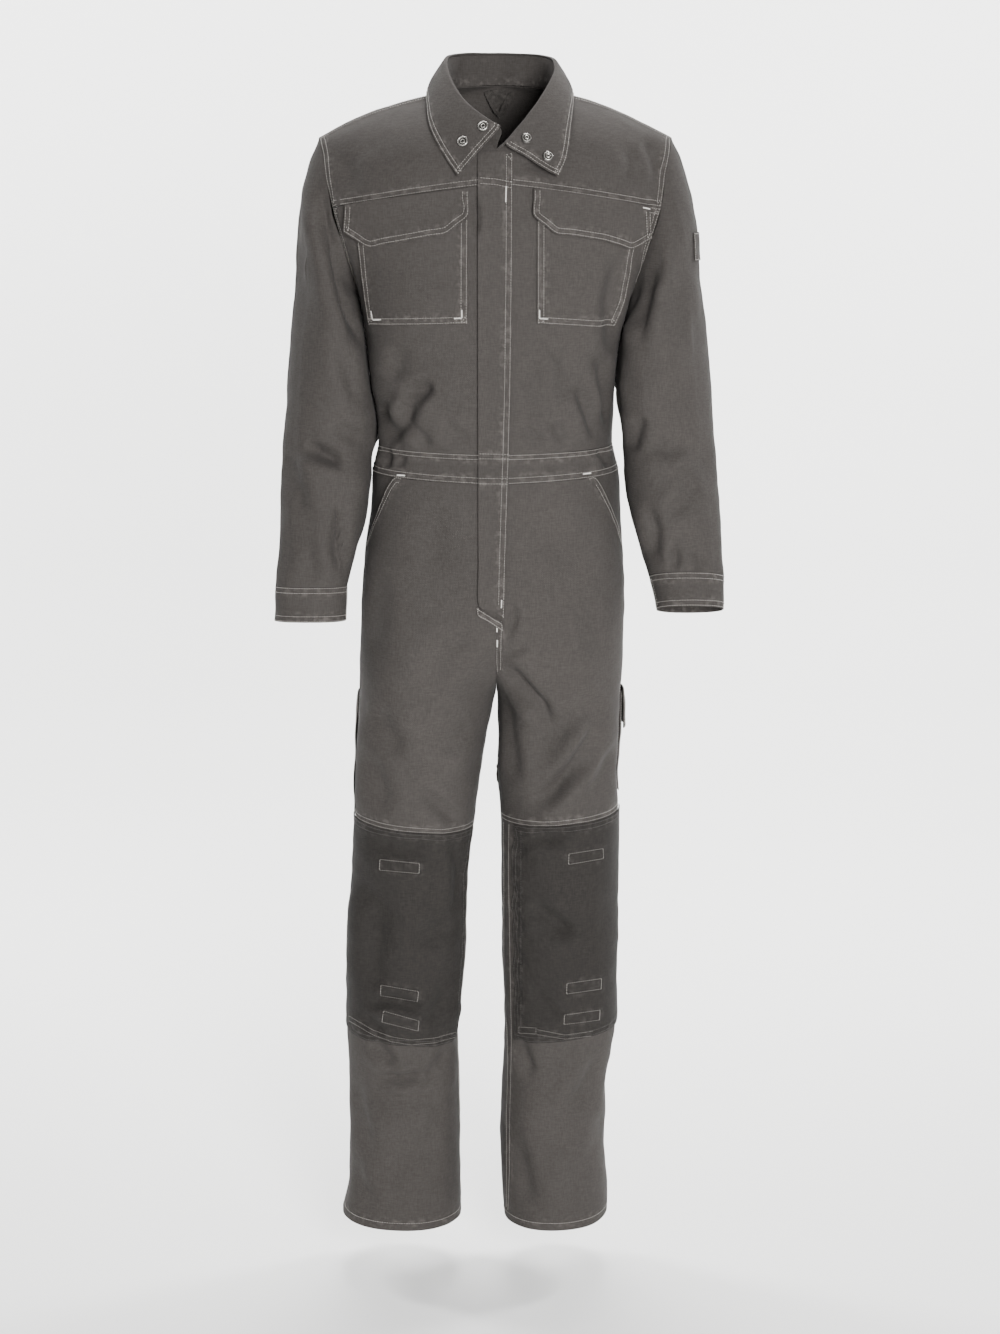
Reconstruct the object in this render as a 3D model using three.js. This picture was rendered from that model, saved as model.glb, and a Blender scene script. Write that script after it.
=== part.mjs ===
// A men's work boiler suit, size L, filled out as if worn, standing free with nobody in it.
// Millimetres, +Z up. X runs to the viewer's right, the front of the suit faces -Y, and the
// origin is the point between the shoulders where the wearer carries it, level with the neck seam.
// "side" is -1 for the wearer's right half and +1 for the left. Widths are measured outwards
// from the centre plane, so one formula serves both halves.
import * as THREE from "three";

// Cloth and seams
const CLOTH = 1.5; // a lapped and lined seam allowance makes the twill read this thick
const SEAM_GAP = 0.3; // between the edges of two pieces that are sewn together
const ARMHOLE_GAP = 0.4; // the sleeve's edge to the armhole's
const ARMPIT_GAP = 1.7; // the same where the seams cross under the arm
const LAID_GAP = 0.9; // between a panel and a piece that lies on it
const ROW_STEP = 30; // height of one band of facets
const LEG_STEP = 36; // the same on the shins and down the backs of the legs
const ARMHOLE_STEP = 34; // the same from the armpit up to the shoulder
const COLUMNS = 9; // facets across each quarter of the body or half of a leg

// Heights of the cut, from the neck seam
const WAIST_TOP = -459;
const WAIST_BOTTOM = -496;
const WAIST_QUARTER = 190; // a quarter of the way round the waist
const FLY_END = -655;

// Fronts, one row for each level from the waist seam up to the shoulder seam. "in" is the centre
// front, or the neckline above the collar notch; "out" is the side seam, or the armhole above the
// armpit. Turn is how far the cloth turns back, in degrees, and square how boxy that turn is.
const FRONT = [
  { inR: 0, inL: 0, inY: -113, inZ: -460, outR: 157, outL: 154, outY: 0,
    outZ: -457, turn: 90, square: 2.3, crown: 0 },
  { inR: 0, inL: 0, inY: -119, inZ: -430, outR: 158.5, outL: 155, outY: 0,
    outZ: -428, turn: 90, square: 2.3, crown: 0 },
  { inR: 0, inL: 0, inY: -121, inZ: -385, outR: 165, outL: 158, outY: 0,
    outZ: -383, turn: 90, square: 2.35, crown: 0 },
  { inR: 0, inL: 0, inY: -122, inZ: -325, outR: 172, outL: 163, outY: 0,
    outZ: -323, turn: 90, square: 2.4, crown: 0 },
  { inR: 0, inL: 0, inY: -122, inZ: -268, outR: 181, outL: 176, outY: 0,
    outZ: -262, turn: 90, square: 2.45, crown: 0 },
  { inR: 0, inL: 0, inY: -120, inZ: -214, outR: 191, outL: 191, outY: -38,
    outZ: -216, turn: 76, square: 2.4, crown: 0 },
  { inR: 0, inL: 0, inY: -117, inZ: -162, outR: 203, outL: 204, outY: -54,
    outZ: -178, turn: 66, square: 2.3, crown: 0 },
  { inR: 0, inL: 0, inY: -113, inZ: -116, outR: 213, outL: 213, outY: -53,
    outZ: -147, turn: 60, square: 2.3, crown: 2 },
  { inR: 0, inL: 0, inY: -105, inZ: -76, outR: 219, outL: 218, outY: -43,
    outZ: -112, turn: 52, square: 2.2, crown: 4 },
  { inR: 34, inL: 44, inY: -84, inZ: -50, outR: 223, outL: 222, outY: -30,
    outZ: -86, turn: 46, square: 2.1, crown: 6 },
  { inR: 60, inL: 72, inY: -44, inZ: -21, outR: 228, outL: 226,
    outY: -14, outZ: -67, turn: 40, square: 2, crown: 7 },
  { inR: 68, inL: 80, inY: 4, inZ: 0, outR: 231, outL: 229, outY: 5,
    outZ: -58, turn: 30, square: 2, crown: 7 },
];
// Back, level by level with the fronts
const BACK = [
  { inR: 0, inL: 0, inY: 104, inZ: -458, outR: 157, outL: 154, outY: 0,
    outZ: -457, turn: 90, square: 2.4, crown: 0 },
  { inR: 0, inL: 0, inY: 117, inZ: -430, outR: 158.5, outL: 155, outY: 0,
    outZ: -428, turn: 90, square: 2.4, crown: 0 },
  { inR: 0, inL: 0, inY: 122, inZ: -385, outR: 165, outL: 158, outY: 0,
    outZ: -383, turn: 90, square: 2.45, crown: 0 },
  { inR: 0, inL: 0, inY: 124, inZ: -325, outR: 172, outL: 163, outY: 0,
    outZ: -323, turn: 90, square: 2.5, crown: 0 },
  { inR: 0, inL: 0, inY: 123, inZ: -266, outR: 181, outL: 176, outY: 0,
    outZ: -262, turn: 90, square: 2.5, crown: 0 },
  { inR: 0, inL: 0, inY: 118, inZ: -205, outR: 191, outL: 191, outY: 42,
    outZ: -216, turn: 78, square: 2.4, crown: 0 },
  { inR: 0, inL: 0, inY: 110, inZ: -148, outR: 203, outL: 204, outY: 60,
    outZ: -178, turn: 68, square: 2.3, crown: 2 },
  { inR: 0, inL: 0, inY: 101, inZ: -100, outR: 213, outL: 213, outY: 60,
    outZ: -147, turn: 60, square: 2.2, crown: 4 },
  { inR: 0, inL: 0, inY: 90, inZ: -55, outR: 219, outL: 218, outY: 50,
    outZ: -112, turn: 52, square: 2.1, crown: 6 },
  { inR: 0, inL: 0, inY: 73, inZ: 10, outR: 223, outL: 222, outY: 36,
    outZ: -86, turn: 46, square: 2, crown: 10 },
  { inR: 46, inL: 58, inY: 54, inZ: 7, outR: 228, outL: 226, outY: 22,
    outZ: -67, turn: 40, square: 2, crown: 8 },
  { inR: 68, inL: 80, inY: 4, inZ: 0, outR: 231, outL: 229, outY: 5,
    outZ: -58, turn: 30, square: 2, crown: 7 },
];
const ARMPIT = 4; // the level in both tables where the side seam ends
const YOKE_SEAM = 7;
const NECK_NOTCH = 8; // front level where the centre edge becomes the neckline
const NAPE = 9; // the same on the back
const SHOULDER = 11;

// Trousers, one row for each level. Each half is a tube from "in" to "out"; above the crotch
// "in" lies beyond the centre plane, which cuts the tube there, and that cut is the rise.
const LEG = [
  { zIn: -499, zOut: -492, inR: -166, outR: 166, inL: -162, outL: 162,
    front: 116, back: 112, y: 0, square: 2.35 },
  { zIn: -550, zOut: -547, inR: -160, outR: 169, inL: -158, outL: 167,
    front: 119, back: 122, y: 0, square: 2.4 },
  { zIn: -613, zOut: -612, inR: -140, outR: 178, inL: -138, outL: 170,
    front: 120, back: 128, y: 0, square: 2.4 },
  { zIn: -680, zOut: -680, inR: -96, outR: 182, inL: -94, outL: 173,
    front: 117, back: 128, y: 0, square: 2.4 },
  { zIn: -733, zOut: -733, inR: -50, outR: 184, inL: -50, outL: 173,
    front: 112, back: 122, y: 0, square: 2.35 },
  { zIn: -770, zOut: -770, inR: -17, outR: 186, inL: -17, outL: 171,
    front: 108, back: 116, y: 0, square: 2.3 },
  { zIn: -793, zOut: -793, inR: 0.6, outR: 187, inL: 0.6, outL: 169,
    front: 105, back: 112, y: 0, square: 2.3 },
  { zIn: -820, zOut: -820, inR: 6, outR: 188, inL: 1.5, outL: 168,
    front: 101, back: 107, y: -1, square: 2.25 },
  { zIn: -901, zOut: -901, inR: 22, outR: 191, inL: 2, outL: 165, front: 94, back: 97, y: -4, square: 2.2 },
  { zIn: -965, zOut: -950, inR: 32, outR: 194, inL: 7, outL: 168, front: 88, back: 88, y: -6, square: 2.2 },
  { zIn: -1051, zOut: -1051, inR: 39, outR: 199, inL: 6, outL: 166, front: 84, back: 82, y: -7, square: 2.2 },
  { zIn: -1160, zOut: -1160, inR: 43, outR: 206, inL: 9, outL: 167,
    front: 82, back: 80, y: -3, square: 2.25 },
  { zIn: -1280, zOut: -1264, inR: 53, outR: 209, inL: 11, outL: 168,
    front: 80, back: 78, y: 2, square: 2.25 },
  { zIn: -1358, zOut: -1358, inR: 54, outR: 208, inL: 8, outL: 153, front: 79, back: 77, y: 4, square: 2.2 },
  { zIn: -1449, zOut: -1449, inR: 53, outR: 208, inL: 6, outL: 153, front: 80, back: 77, y: 5, square: 2.2 },
  { zIn: -1517, zOut: -1517, inR: 51, outR: 211, inL: 8, outL: 157, front: 82, back: 78, y: 5, square: 2.25 },
  { zIn: -1552, zOut: -1548, inR: 49, outR: 219, inL: 11, outL: 157, front: 86, back: 80, y: 5, square: 2.3 },
];
const CROTCH = 6;
const KNEE_SEAM = 9;
const PATCH_END = 12;
const HEM = 16;

// Sleeves, one row for each level below the cap. Widths are outwards from the centre plane.
// Twist turns the section so that its front lies towards the body; lean raises the front edge.
const SLEEVE = {
  [-1]: [
    { z: -307, in: 177, out: 271, y: 3, depth: 72, twist: 10, lean: 0 },
    { z: -385, in: 169, out: 279, y: 2, depth: 69, twist: 10, lean: 0 },
    { z: -424, in: 164, out: 282, y: 1, depth: 67, twist: 9, lean: 1 },
    { z: -451, in: 168, out: 284, y: -2, depth: 65, twist: 7, lean: 2 },
    { z: -515, in: 173, out: 288, y: -9, depth: 60, twist: 4, lean: 4 },
    { z: -580, in: 182, out: 291, y: -19, depth: 52, twist: 2, lean: 5 },
    { z: -618, in: 192, out: 293, y: -25, depth: 46, twist: 0, lean: 5 },
    { z: -645, in: 200, out: 295, y: -29, depth: 41, twist: 0, lean: 5 },
    { z: -692, in: 202, out: 297, y: -34, depth: 39, twist: 0, lean: 5 },
  ],
  [1]: [
    { z: -307, in: 170, out: 277, y: -4, depth: 72, twist: 14, lean: 0 },
    { z: -385, in: 163, out: 285, y: -6, depth: 69, twist: 12, lean: 2 },
    { z: -424, in: 166, out: 288, y: -10, depth: 67, twist: 12, lean: 4 },
    { z: -451, in: 168, out: 290, y: -13, depth: 65, twist: 10, lean: 6 },
    { z: -515, in: 171, out: 295, y: -26, depth: 60, twist: 6, lean: 12 },
    { z: -570, in: 184, out: 299, y: -41, depth: 53, twist: 3, lean: 16 },
    { z: -604, in: 196, out: 300, y: -51, depth: 46, twist: 0, lean: 17 },
    { z: -628, in: 203, out: 301, y: -58, depth: 41, twist: 0, lean: 17 },
    { z: -671, in: 212, out: 301, y: -71, depth: 38, twist: 0, lean: 17 },
  ],
};
const SLEEVE_SQUARE = 2.2;
const WRIST = 7; // the level where the cuff starts
const CAP_BULGE = 13; // how far the sleeve head stands out between armhole and upper arm
const UNDERARM_BULGE = 5; // the same under the arm
const CAP_ROWS = 6;
const CUFF_HEIGHT = 47;
const CUFF_END = 0.003; // share of the cuff's length left open at its slit
const SLEEVE_GIRTH = 400; // mean length round a sleeve

// Folds of the trunk and legs in the plane of the front view, widths outwards as above.
// Width is the half width of the fold, depth its height, negative where it is a trough.
const FOLDS = [
  { face: -1, side: 1, x0: 4, z0: -742, x1: 62, z1: -868, width: 20, depth: -6 },
  { face: -1, side: 1, x0: 22, z0: -744, x1: 98, z1: -830, width: 20, depth: 4 },
  { face: -1, side: 1, x0: 30, z0: -930, x1: 128, z1: -868, width: 21, depth: -7 },
  { face: -1, side: 1, x0: 44, z0: -902, x1: 136, z1: -832, width: 20, depth: 5 },
  { face: -1, side: 1, x0: 138, z0: -868, x1: 142, z1: -780, width: 20, depth: -4 },
  { face: -1, side: -1, x0: 12, z0: -752, x1: 74, z1: -846, width: 21, depth: -5 },
  { face: -1, side: -1, x0: 60, z0: -900, x1: 108, z1: -935, width: 20, depth: -4 },
  { face: -1, side: -1, x0: 96, z0: -905, x1: 165, z1: -880, width: 20, depth: 4 },
  { face: -1, side: -1, x0: 105, z0: -1358, x1: 175, z1: -1350, width: 20, depth: -5 },
  { face: -1, side: -1, x0: 90, z0: -1385, x1: 160, z1: -1392, width: 20, depth: 4 },
  { face: -1, side: 1, x0: 40, z0: -1335, x1: 110, z1: -1310, width: 20, depth: -4 },
  { face: -1, side: 1, x0: 60, z0: -1440, x1: 130, z1: -1465, width: 20, depth: 4 },
  { face: -1, side: -1, x0: 60, z0: -415, x1: 118, z1: -438, width: 20, depth: 4 },
  { face: -1, side: -1, x0: 110, z0: -360, x1: 150, z1: -425, width: 20, depth: -5 },
  { face: -1, side: 1, x0: 58, z0: -405, x1: 128, z1: -440, width: 20, depth: 4 },
  { face: -1, side: 1, x0: 112, z0: -345, x1: 146, z1: -425, width: 20, depth: -5 },
  { face: -1, side: 1, x0: 186, z0: -86, x1: 204, z1: -140, width: 20, depth: -4 },
  { face: 1, side: -1, x0: 30, z0: -400, x1: 130, z1: -436, width: 20, depth: 5 },
  { face: 1, side: 1, x0: 24, z0: -396, x1: 124, z1: -432, width: 20, depth: 5 },
  { face: 1, side: -1, x0: 70, z0: -330, x1: 150, z1: -230, width: 27, depth: -6 },
  { face: 1, side: 1, x0: 76, z0: -340, x1: 148, z1: -240, width: 27, depth: -6 },
  { face: 1, side: -1, x0: 110, z0: -150, x1: 175, z1: -240, width: 24, depth: -5 },
  { face: 1, side: 1, x0: 108, z0: -140, x1: 178, z1: -235, width: 24, depth: -5 },
  { face: 1, side: -1, x0: 8, z0: -770, x1: 120, z1: -700, width: 22, depth: -6 },
  { face: 1, side: 1, x0: 8, z0: -772, x1: 112, z1: -706, width: 22, depth: -6 },
  { face: 1, side: -1, x0: 24, z0: -815, x1: 130, z1: -850, width: 20, depth: -5 },
  { face: 1, side: 1, x0: 14, z0: -822, x1: 46, z1: -840, width: 20, depth: -5 },
  { face: 1, side: -1, x0: 50, z0: -1010, x1: 170, z1: -985, width: 21, depth: -6 },
  { face: 1, side: 1, x0: 24, z0: -1018, x1: 142, z1: -990, width: 21, depth: -6 },
  { face: 1, side: -1, x0: 60, z0: -1060, x1: 180, z1: -1080, width: 21, depth: 5 },
  { face: 1, side: 1, x0: 30, z0: -1064, x1: 150, z1: -1084, width: 21, depth: 5 },
  { face: 1, side: -1, x0: 75, z0: -1420, x1: 190, z1: -1450, width: 21, depth: -5 },
  { face: 1, side: 1, x0: 30, z0: -1424, x1: 136, z1: -1452, width: 21, depth: -5 },
];
// Folds of the sleeves: round is the share of the way round from the underarm seam by the front,
// drop the height below the neck seam.
const SLEEVE_FOLDS = [
  { side: -1, round0: 0.3, drop0: -150, round1: 0.17, drop1: -300, width: 15, depth: -6 },
  { side: -1, round0: 0.44, drop0: -120, round1: 0.34, drop1: -240, width: 14, depth: 4 },
  { side: -1, round0: 0.12, drop0: -440, round1: 0.42, drop1: -478, width: 13, depth: -6 },
  { side: -1, round0: 0.1, drop0: -478, round1: 0.4, drop1: -446, width: 13, depth: -4 },
  { side: -1, round0: 0.14, drop0: -520, round1: 0.36, drop1: -540, width: 13, depth: 4 },
  { side: -1, round0: 0.6, drop0: -430, round1: 0.9, drop1: -470, width: 14, depth: -5 },
  { side: -1, round0: 0.62, drop0: -500, round1: 0.92, drop1: -480, width: 14, depth: 4 },
  { side: 1, round0: 0.28, drop0: -160, round1: 0.14, drop1: -290, width: 14, depth: -5 },
  { side: 1, round0: 0.42, drop0: -250, round1: 0.2, drop1: -400, width: 16, depth: 4 },
  { side: 1, round0: 0.1, drop0: -430, round1: 0.38, drop1: -462, width: 13, depth: -6 },
  { side: 1, round0: 0.12, drop0: -500, round1: 0.4, drop1: -470, width: 13, depth: -4 },
  { side: 1, round0: 0.6, drop0: -440, round1: 0.92, drop1: -470, width: 14, depth: -5 },
  { side: 1, round0: 0.62, drop0: -520, round1: 0.9, drop1: -500, width: 14, depth: 4 },
];

// Collar, one row for each station from the centre back round to the front end, wearer's right
// and left. "fold" is where the collar turns over, "edge" the outer edge of the leaf.
const COLLAR = {
  [-1]: [
    { foldX: 6, foldY: 72, foldZ: 49, edgeX: 6, edgeY: 101, edgeZ: 4 },
    { foldX: -37, foldY: 60, foldZ: 48, edgeX: -50, edgeY: 88, edgeZ: 2 },
    { foldX: -62, foldY: 30, foldZ: 44, edgeX: -82, edgeY: 46, edgeZ: 0 },
    { foldX: -66, foldY: -6, foldZ: 34, edgeX: -91, edgeY: -8, edgeZ: -3 },
    { foldX: -60, foldY: -46, foldZ: 13, edgeX: -87, edgeY: -68, edgeZ: -37 },
    { foldX: -38, foldY: -82, foldZ: -18, edgeX: -70, edgeY: -101, edgeZ: -74 },
    { foldX: 5, foldY: -109, foldZ: -47, edgeX: -48, edgeY: -121, edgeZ: -106 },
  ],
  [1]: [
    { foldX: 6, foldY: 72, foldZ: 49, edgeX: 6, edgeY: 101, edgeZ: 4 },
    { foldX: 49, foldY: 60, foldZ: 47, edgeX: 62, edgeY: 88, edgeZ: 2 },
    { foldX: 75, foldY: 30, foldZ: 40, edgeX: 94, edgeY: 46, edgeZ: 0 },
    { foldX: 78, foldY: -6, foldZ: 28, edgeX: 101, edgeY: -10, edgeZ: -5 },
    { foldX: 70, foldY: -46, foldZ: 8, edgeX: 97, edgeY: -75, edgeZ: -41 },
    { foldX: 48, foldY: -82, foldZ: -24, edgeX: 90, edgeY: -108, edgeZ: -84 },
    { foldX: 11, foldY: -110, foldZ: -67, edgeX: 79, edgeY: -119, edgeZ: -107 },
  ],
};
const COLLAR_COLUMNS = 12; // facets along each half of the collar
const SNAP = { radius: 7, rim: 1.1, height: 2.4, sides: 12 };

// Pieces laid on the fronts, in widths outwards (out) and heights, corner by corner
const CHEST_POCKET = {
  [-1]: { topIn: 35, topOut: 180, bottomIn: 36, bottomOut: 162,
    top: -140, topFall: -20, bottomInZ: -291, bottomOutZ: -296 },
  [1]: { topIn: 52, topOut: 186, bottomIn: 52, bottomOut: 154,
    top: -138, topFall: -22, bottomInZ: -291, bottomOutZ: -299 },
};
const CHEST_FLAP = {
  [-1]: [
    { out: 34, top: -121.5, bottom: -156 },
    { out: 61, top: -125, bottom: -178 },
    { out: 95, top: -129.5, bottom: -184 },
    { out: 130, top: -134, bottom: -190 },
    { out: 160, top: -138, bottom: -195 },
    { out: 190, top: -143, bottom: -176 },
  ],
  [1]: [
    { out: 47, top: -122.5, bottom: -156 },
    { out: 74, top: -125, bottom: -178 },
    { out: 104, top: -129, bottom: -182 },
    { out: 135, top: -134, bottom: -187 },
    { out: 171, top: -140, bottom: -197 },
    { out: 197, top: -146, bottom: -184 },
  ],
};
const PLACKET = { freeEdge: 23, sewnEdgeTop: 21, sewnEdgeBottom: 11, cutFall: 18, lastRow: 67 };
const FLY_TAB = { x0: -25, x1: 9, z: -659, fall: -22, height: 11 };
const THIGH_POCKET = { side: 1, from: 0.985, to: 0.42, top: -800, bottom: -934, puff: 9 };
const THIGH_FLAP = { side: 1, from: 0.995, to: 0.4, top: -783, bottom: -848, puff: 10 };
const RULE_POCKET = { side: -1, from: 0.985, to: 0.74, top: -800, bottom: -960, puff: 6 };
const BADGE = { side: 1, round0: 0.43, round1: 0.54, drop0: -180, drop1: -216 };
const LABEL = { x0: -8, x1: 14, top: 6, bottom: -14, depth: CLOTH + 2.9 };
const LOOP = { width: 8, left: -13, right: 22, top: 4, bottom: -27, proud: 5 };

// Smooth monotone curve through a column of a table; v counts rows.
function column(rows, name, v) {
  const last = rows.length - 1;
  const k = Math.min(last - 1, Math.max(0, Math.floor(v)));
  const f = v - k;
  const value = (i) => rows[Math.min(last, Math.max(0, i))][name];
  const step = (i) => value(i + 1) - value(i);
  const slope = (i) => {
    if (i <= 0) return step(0);
    if (i >= last) return step(last - 1);
    const [a, b] = [step(i - 1), step(i)];
    return a * b <= 0 ? 0 : (2 * a * b) / (a + b);
  };
  const [p, q, m, n] = [value(k), value(k + 1), slope(k), slope(k + 1)];
  const h = q - p;
  return p + f * (m + f * (3 * h - 2 * m - n + f * (m + n - 2 * h)));
}

// A polyline walked by share of its length, 0 to 1
function along(points) {
  const lengths = [0];
  for (let i = 1; i < points.length; i++) {
    lengths.push(lengths[i - 1] + points[i].distanceTo(points[i - 1]));
  }
  const total = lengths[lengths.length - 1];
  const at = (t) => {
    const want = t * total;
    let i = 1;
    while (i < points.length - 1 && lengths[i] < want) i++;
    const f = (want - lengths[i - 1]) / (lengths[i] - lengths[i - 1]);
    return points[i - 1].clone().lerp(points[i], f);
  };
  return { at, total };
}

const SAMPLES = 60; // points in each section before it is walked by length
const sections = new Map(); // sections already worked out, by key

function section(key, make) {
  if (!sections.has(key)) sections.set(key, along(make()));
  return sections.get(key);
}

const power = (value, exponent) => Math.sign(value) * Math.abs(value) ** exponent;

// The section of a front or back at level v above the waist
function trunkSection(side, face, v) {
  return section(`trunk ${side} ${face} ${v}`, () => {
    const rows = face < 0 ? FRONT : BACK;
    const hand = side < 0 ? "R" : "L";
    const get = (name) => column(rows, name, v);
    const [inX, outX] = [get("in" + hand), get("out" + hand)];
    const [inY, outY, inZ, outZ] = [get("inY"), get("outY"), get("inZ"), get("outZ")];
    const turn = THREE.MathUtils.degToRad(get("turn"));
    const bend = 2 / get("square");
    const crown = get("crown");
    const points = [];
    for (let i = 0; i <= SAMPLES; i++) {
      const angle = (turn * i) / SAMPLES;
      const across = power(Math.sin(angle) / Math.sin(turn), bend);
      const back = (1 - power(Math.cos(angle), bend)) / (1 - power(Math.cos(turn), bend));
      points.push(new THREE.Vector3(
        side * (inX + (outX - inX) * across),
        inY + (outY - inY) * back,
        inZ + (outZ - inZ) * across + 4 * crown * across * (1 - across),
      ));
    }
    return points;
  });
}

// The section of a leg at level v of its table, from the inseam or the rise to the side seam
function legSection(side, face, v) {
  return section(`leg ${side} ${face} ${v}`, () => {
    const hand = side < 0 ? "R" : "L";
    const get = (name) => column(LEG, name, v);
    const [inX, outX] = [get("in" + hand), get("out" + hand)];
    const near = Math.max(inX, 0);
    const middle = (inX + outX) / 2;
    const half = (outX - inX) / 2;
    const square = get("square");
    const depth = get(face < 0 ? "front" : "back");
    const [y, zIn, zOut] = [get("y"), get("zIn"), get("zOut")];
    const cut = middle < half ? Math.asin((middle / half) ** (square / 2)) : Math.PI / 2;
    const points = [];
    for (let i = 0; i <= SAMPLES; i++) {
      const angle = -cut + ((cut + Math.PI / 2) * i) / SAMPLES;
      const out = middle + half * power(Math.sin(angle), 2 / square);
      points.push(new THREE.Vector3(
        side * out,
        y + face * depth * power(Math.cos(angle), 2 / square),
        zIn + (zOut - zIn) * THREE.MathUtils.clamp((out - near) / (outX - near), 0, 1),
      ));
    }
    return points;
  });
}

// The foot of the distance from a point to a fold's line, in the plane of the table
function foldHeight(x, z, x0, z0, x1, z1, width, depth) {
  const [dx, dz] = [x1 - x0, z1 - z0];
  const length = Math.hypot(dx, dz);
  const u = ((x - x0) * dx + (z - z0) * dz) / length ** 2;
  const beyond = Math.max(0, -u, u - 1) * length;
  const off = Math.abs((x - x0) * dz - (z - z0) * dx) / length;
  return depth * Math.exp(-((off / width) ** 2) - (beyond / (1.6 * width)) ** 2);
}

function normalFrom(surface, t, v, dt, dv) {
  const clampT = (value) => THREE.MathUtils.clamp(value, 0, 1);
  const a = surface(clampT(t - dt), v);
  const b = surface(clampT(t + dt), v);
  const c = surface(t, v - dv);
  const d = surface(t, v + dv);
  return b.sub(a).cross(d.sub(c)).normalize();
}

// The body's surface: "part" is trunk, band or leg. Band counts v from 0, its lower seam, to 1.
function bodyBase(part, side, face, t, v) {
  if (part === "trunk") return trunkSection(side, face, THREE.MathUtils.clamp(v, 0, SHOULDER)).at(t);
  if (part === "leg") return legSection(side, face, THREE.MathUtils.clamp(v, 0, HEM)).at(t);
  const low = legSection(side, face, 0).at(t);
  return low.lerp(trunkSection(side, face, 0).at(t), THREE.MathUtils.clamp(v, 0, 1));
}

function bodyPoint(part, side, face, t, v) {
  const point = bodyBase(part, side, face, t, v);
  const normal = normalFrom((a, b) => bodyBase(part, side, face, a, b), t, v, 0.004, 0.01);
  if (part === "leg") normal.negate();
  normal.multiplyScalar(side * -face);
  let height = 0;
  for (const fold of FOLDS) {
    if (fold.face !== face || fold.side !== side) continue;
    height += foldHeight(side * point.x, point.z, fold.x0, fold.z0, fold.x1, fold.z1, fold.width, fold.depth);
  }
  const fromWaist = { trunk: v, leg: v * 2, band: 0 }[part];
  const seam = Math.min(1, (1 - t) * 5, fromWaist, part === "leg" && v > CROTCH ? t * 5 : 1);
  point.addScaledVector(normal, height * Math.max(0, seam));
  return { point, normal };
}

// The edge of the armhole at level v
function armhole(side, face, v) {
  return trunkSection(side, face, v).at(1);
}

// Shares of the armhole's length from armpit to shoulder, and back from share to level
const armholeLevels = {};
for (const side of [-1, 1]) {
  for (const face of [-1, 1]) {
    const list = [];
    for (let i = 0; i <= 140; i++) {
      const v = ARMPIT + ((SHOULDER - ARMPIT) * i) / 140;
      const point = armhole(side, face, v);
      const before = list[i - 1];
      list.push({ v, point, length: before ? before.length + point.distanceTo(before.point) : 0 });
    }
    armholeLevels[`${side} ${face}`] = list;
  }
}

function levelAt(side, face, share) {
  const list = armholeLevels[`${side} ${face}`];
  const want = share * list[list.length - 1].length;
  let i = 1;
  while (i < list.length - 1 && list[i].length < want) i++;
  const f = (want - list[i - 1].length) / (list[i].length - list[i - 1].length);
  return list[i - 1].v + f * (list[i].v - list[i - 1].v);
}

// The sleeve's section at level k of its table; round runs from the inner side by the front,
// the outer side at a half, and the back
function sleeveSection(side, k) {
  return section(`sleeve ${side} ${k}`, () => {
    const get = (name) => column(SLEEVE[side], name, k);
    const [inX, outX, y, depth] = [get("in"), get("out"), get("y"), get("depth")];
    const twist = THREE.MathUtils.degToRad(get("twist"));
    const lean = Math.tan(THREE.MathUtils.degToRad(get("lean")));
    const half = (outX - inX) / 2;
    const points = [];
    for (let i = 0; i <= 2 * SAMPLES; i++) {
      const angle = (Math.PI * i) / SAMPLES;
      const a = -half * power(Math.cos(angle), 2 / SLEEVE_SQUARE);
      const b = -depth * power(Math.sin(angle), 2 / SLEEVE_SQUARE);
      const out = a + b * Math.sin(twist);
      points.push(new THREE.Vector3(side * ((inX + outX) / 2 + out), y + b, get("z") - b * lean));
    }
    return points;
  });
}

// The whole sleeve: h from 0 at the armhole to 1 at the upper arm, then one for each level.
// Round 0 and 1 are the underarm seam.
function sleeveBase(side, round, h) {
  if (h >= 1) return sleeveSection(side, Math.min(h - 1, SLEEVE[side].length - 1)).at(round);
  const face = round < 0.5 ? -1 : 1;
  const share = round < 0.5 ? round * 2 : (1 - round) * 2;
  const start = armhole(side, face, levelAt(side, face, share));
  const end = sleeveSection(side, 0).at(round);
  const out = new THREE.Vector3(side, 0.8 * face * Math.sin(Math.PI * share), 0).normalize();
  const most = THREE.MathUtils.lerp(UNDERARM_BULGE, CAP_BULGE, Math.min(1, share * 2.5));
  const bulge = most * 6.75 * h * (1 - h) ** 2;
  return start.lerp(end, h).addScaledVector(out, bulge);
}

function sleevePoint(side, round, h) {
  const at = (a, b) => sleeveBase(side, a, Math.max(0, b));
  const point = at(round, h);
  const normal = normalFrom(at, round, h, 0.004, 0.01).multiplyScalar(-side);
  let height = 0;
  for (const fold of SLEEVE_FOLDS) {
    if (fold.side !== side) continue;
    const [x0, x1] = [fold.round0 * SLEEVE_GIRTH, fold.round1 * SLEEVE_GIRTH];
    height += foldHeight(
      round * SLEEVE_GIRTH, point.z, x0, fold.drop0, x1, fold.drop1, fold.width, fold.depth,
    );
  }
  const fade = Math.min(1, h * 2.5, (1 + WRIST - h) * 1.5, round * 12, (1 - round) * 12);
  point.addScaledVector(normal, height * Math.max(0, fade));
  return { point, normal };
}

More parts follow.
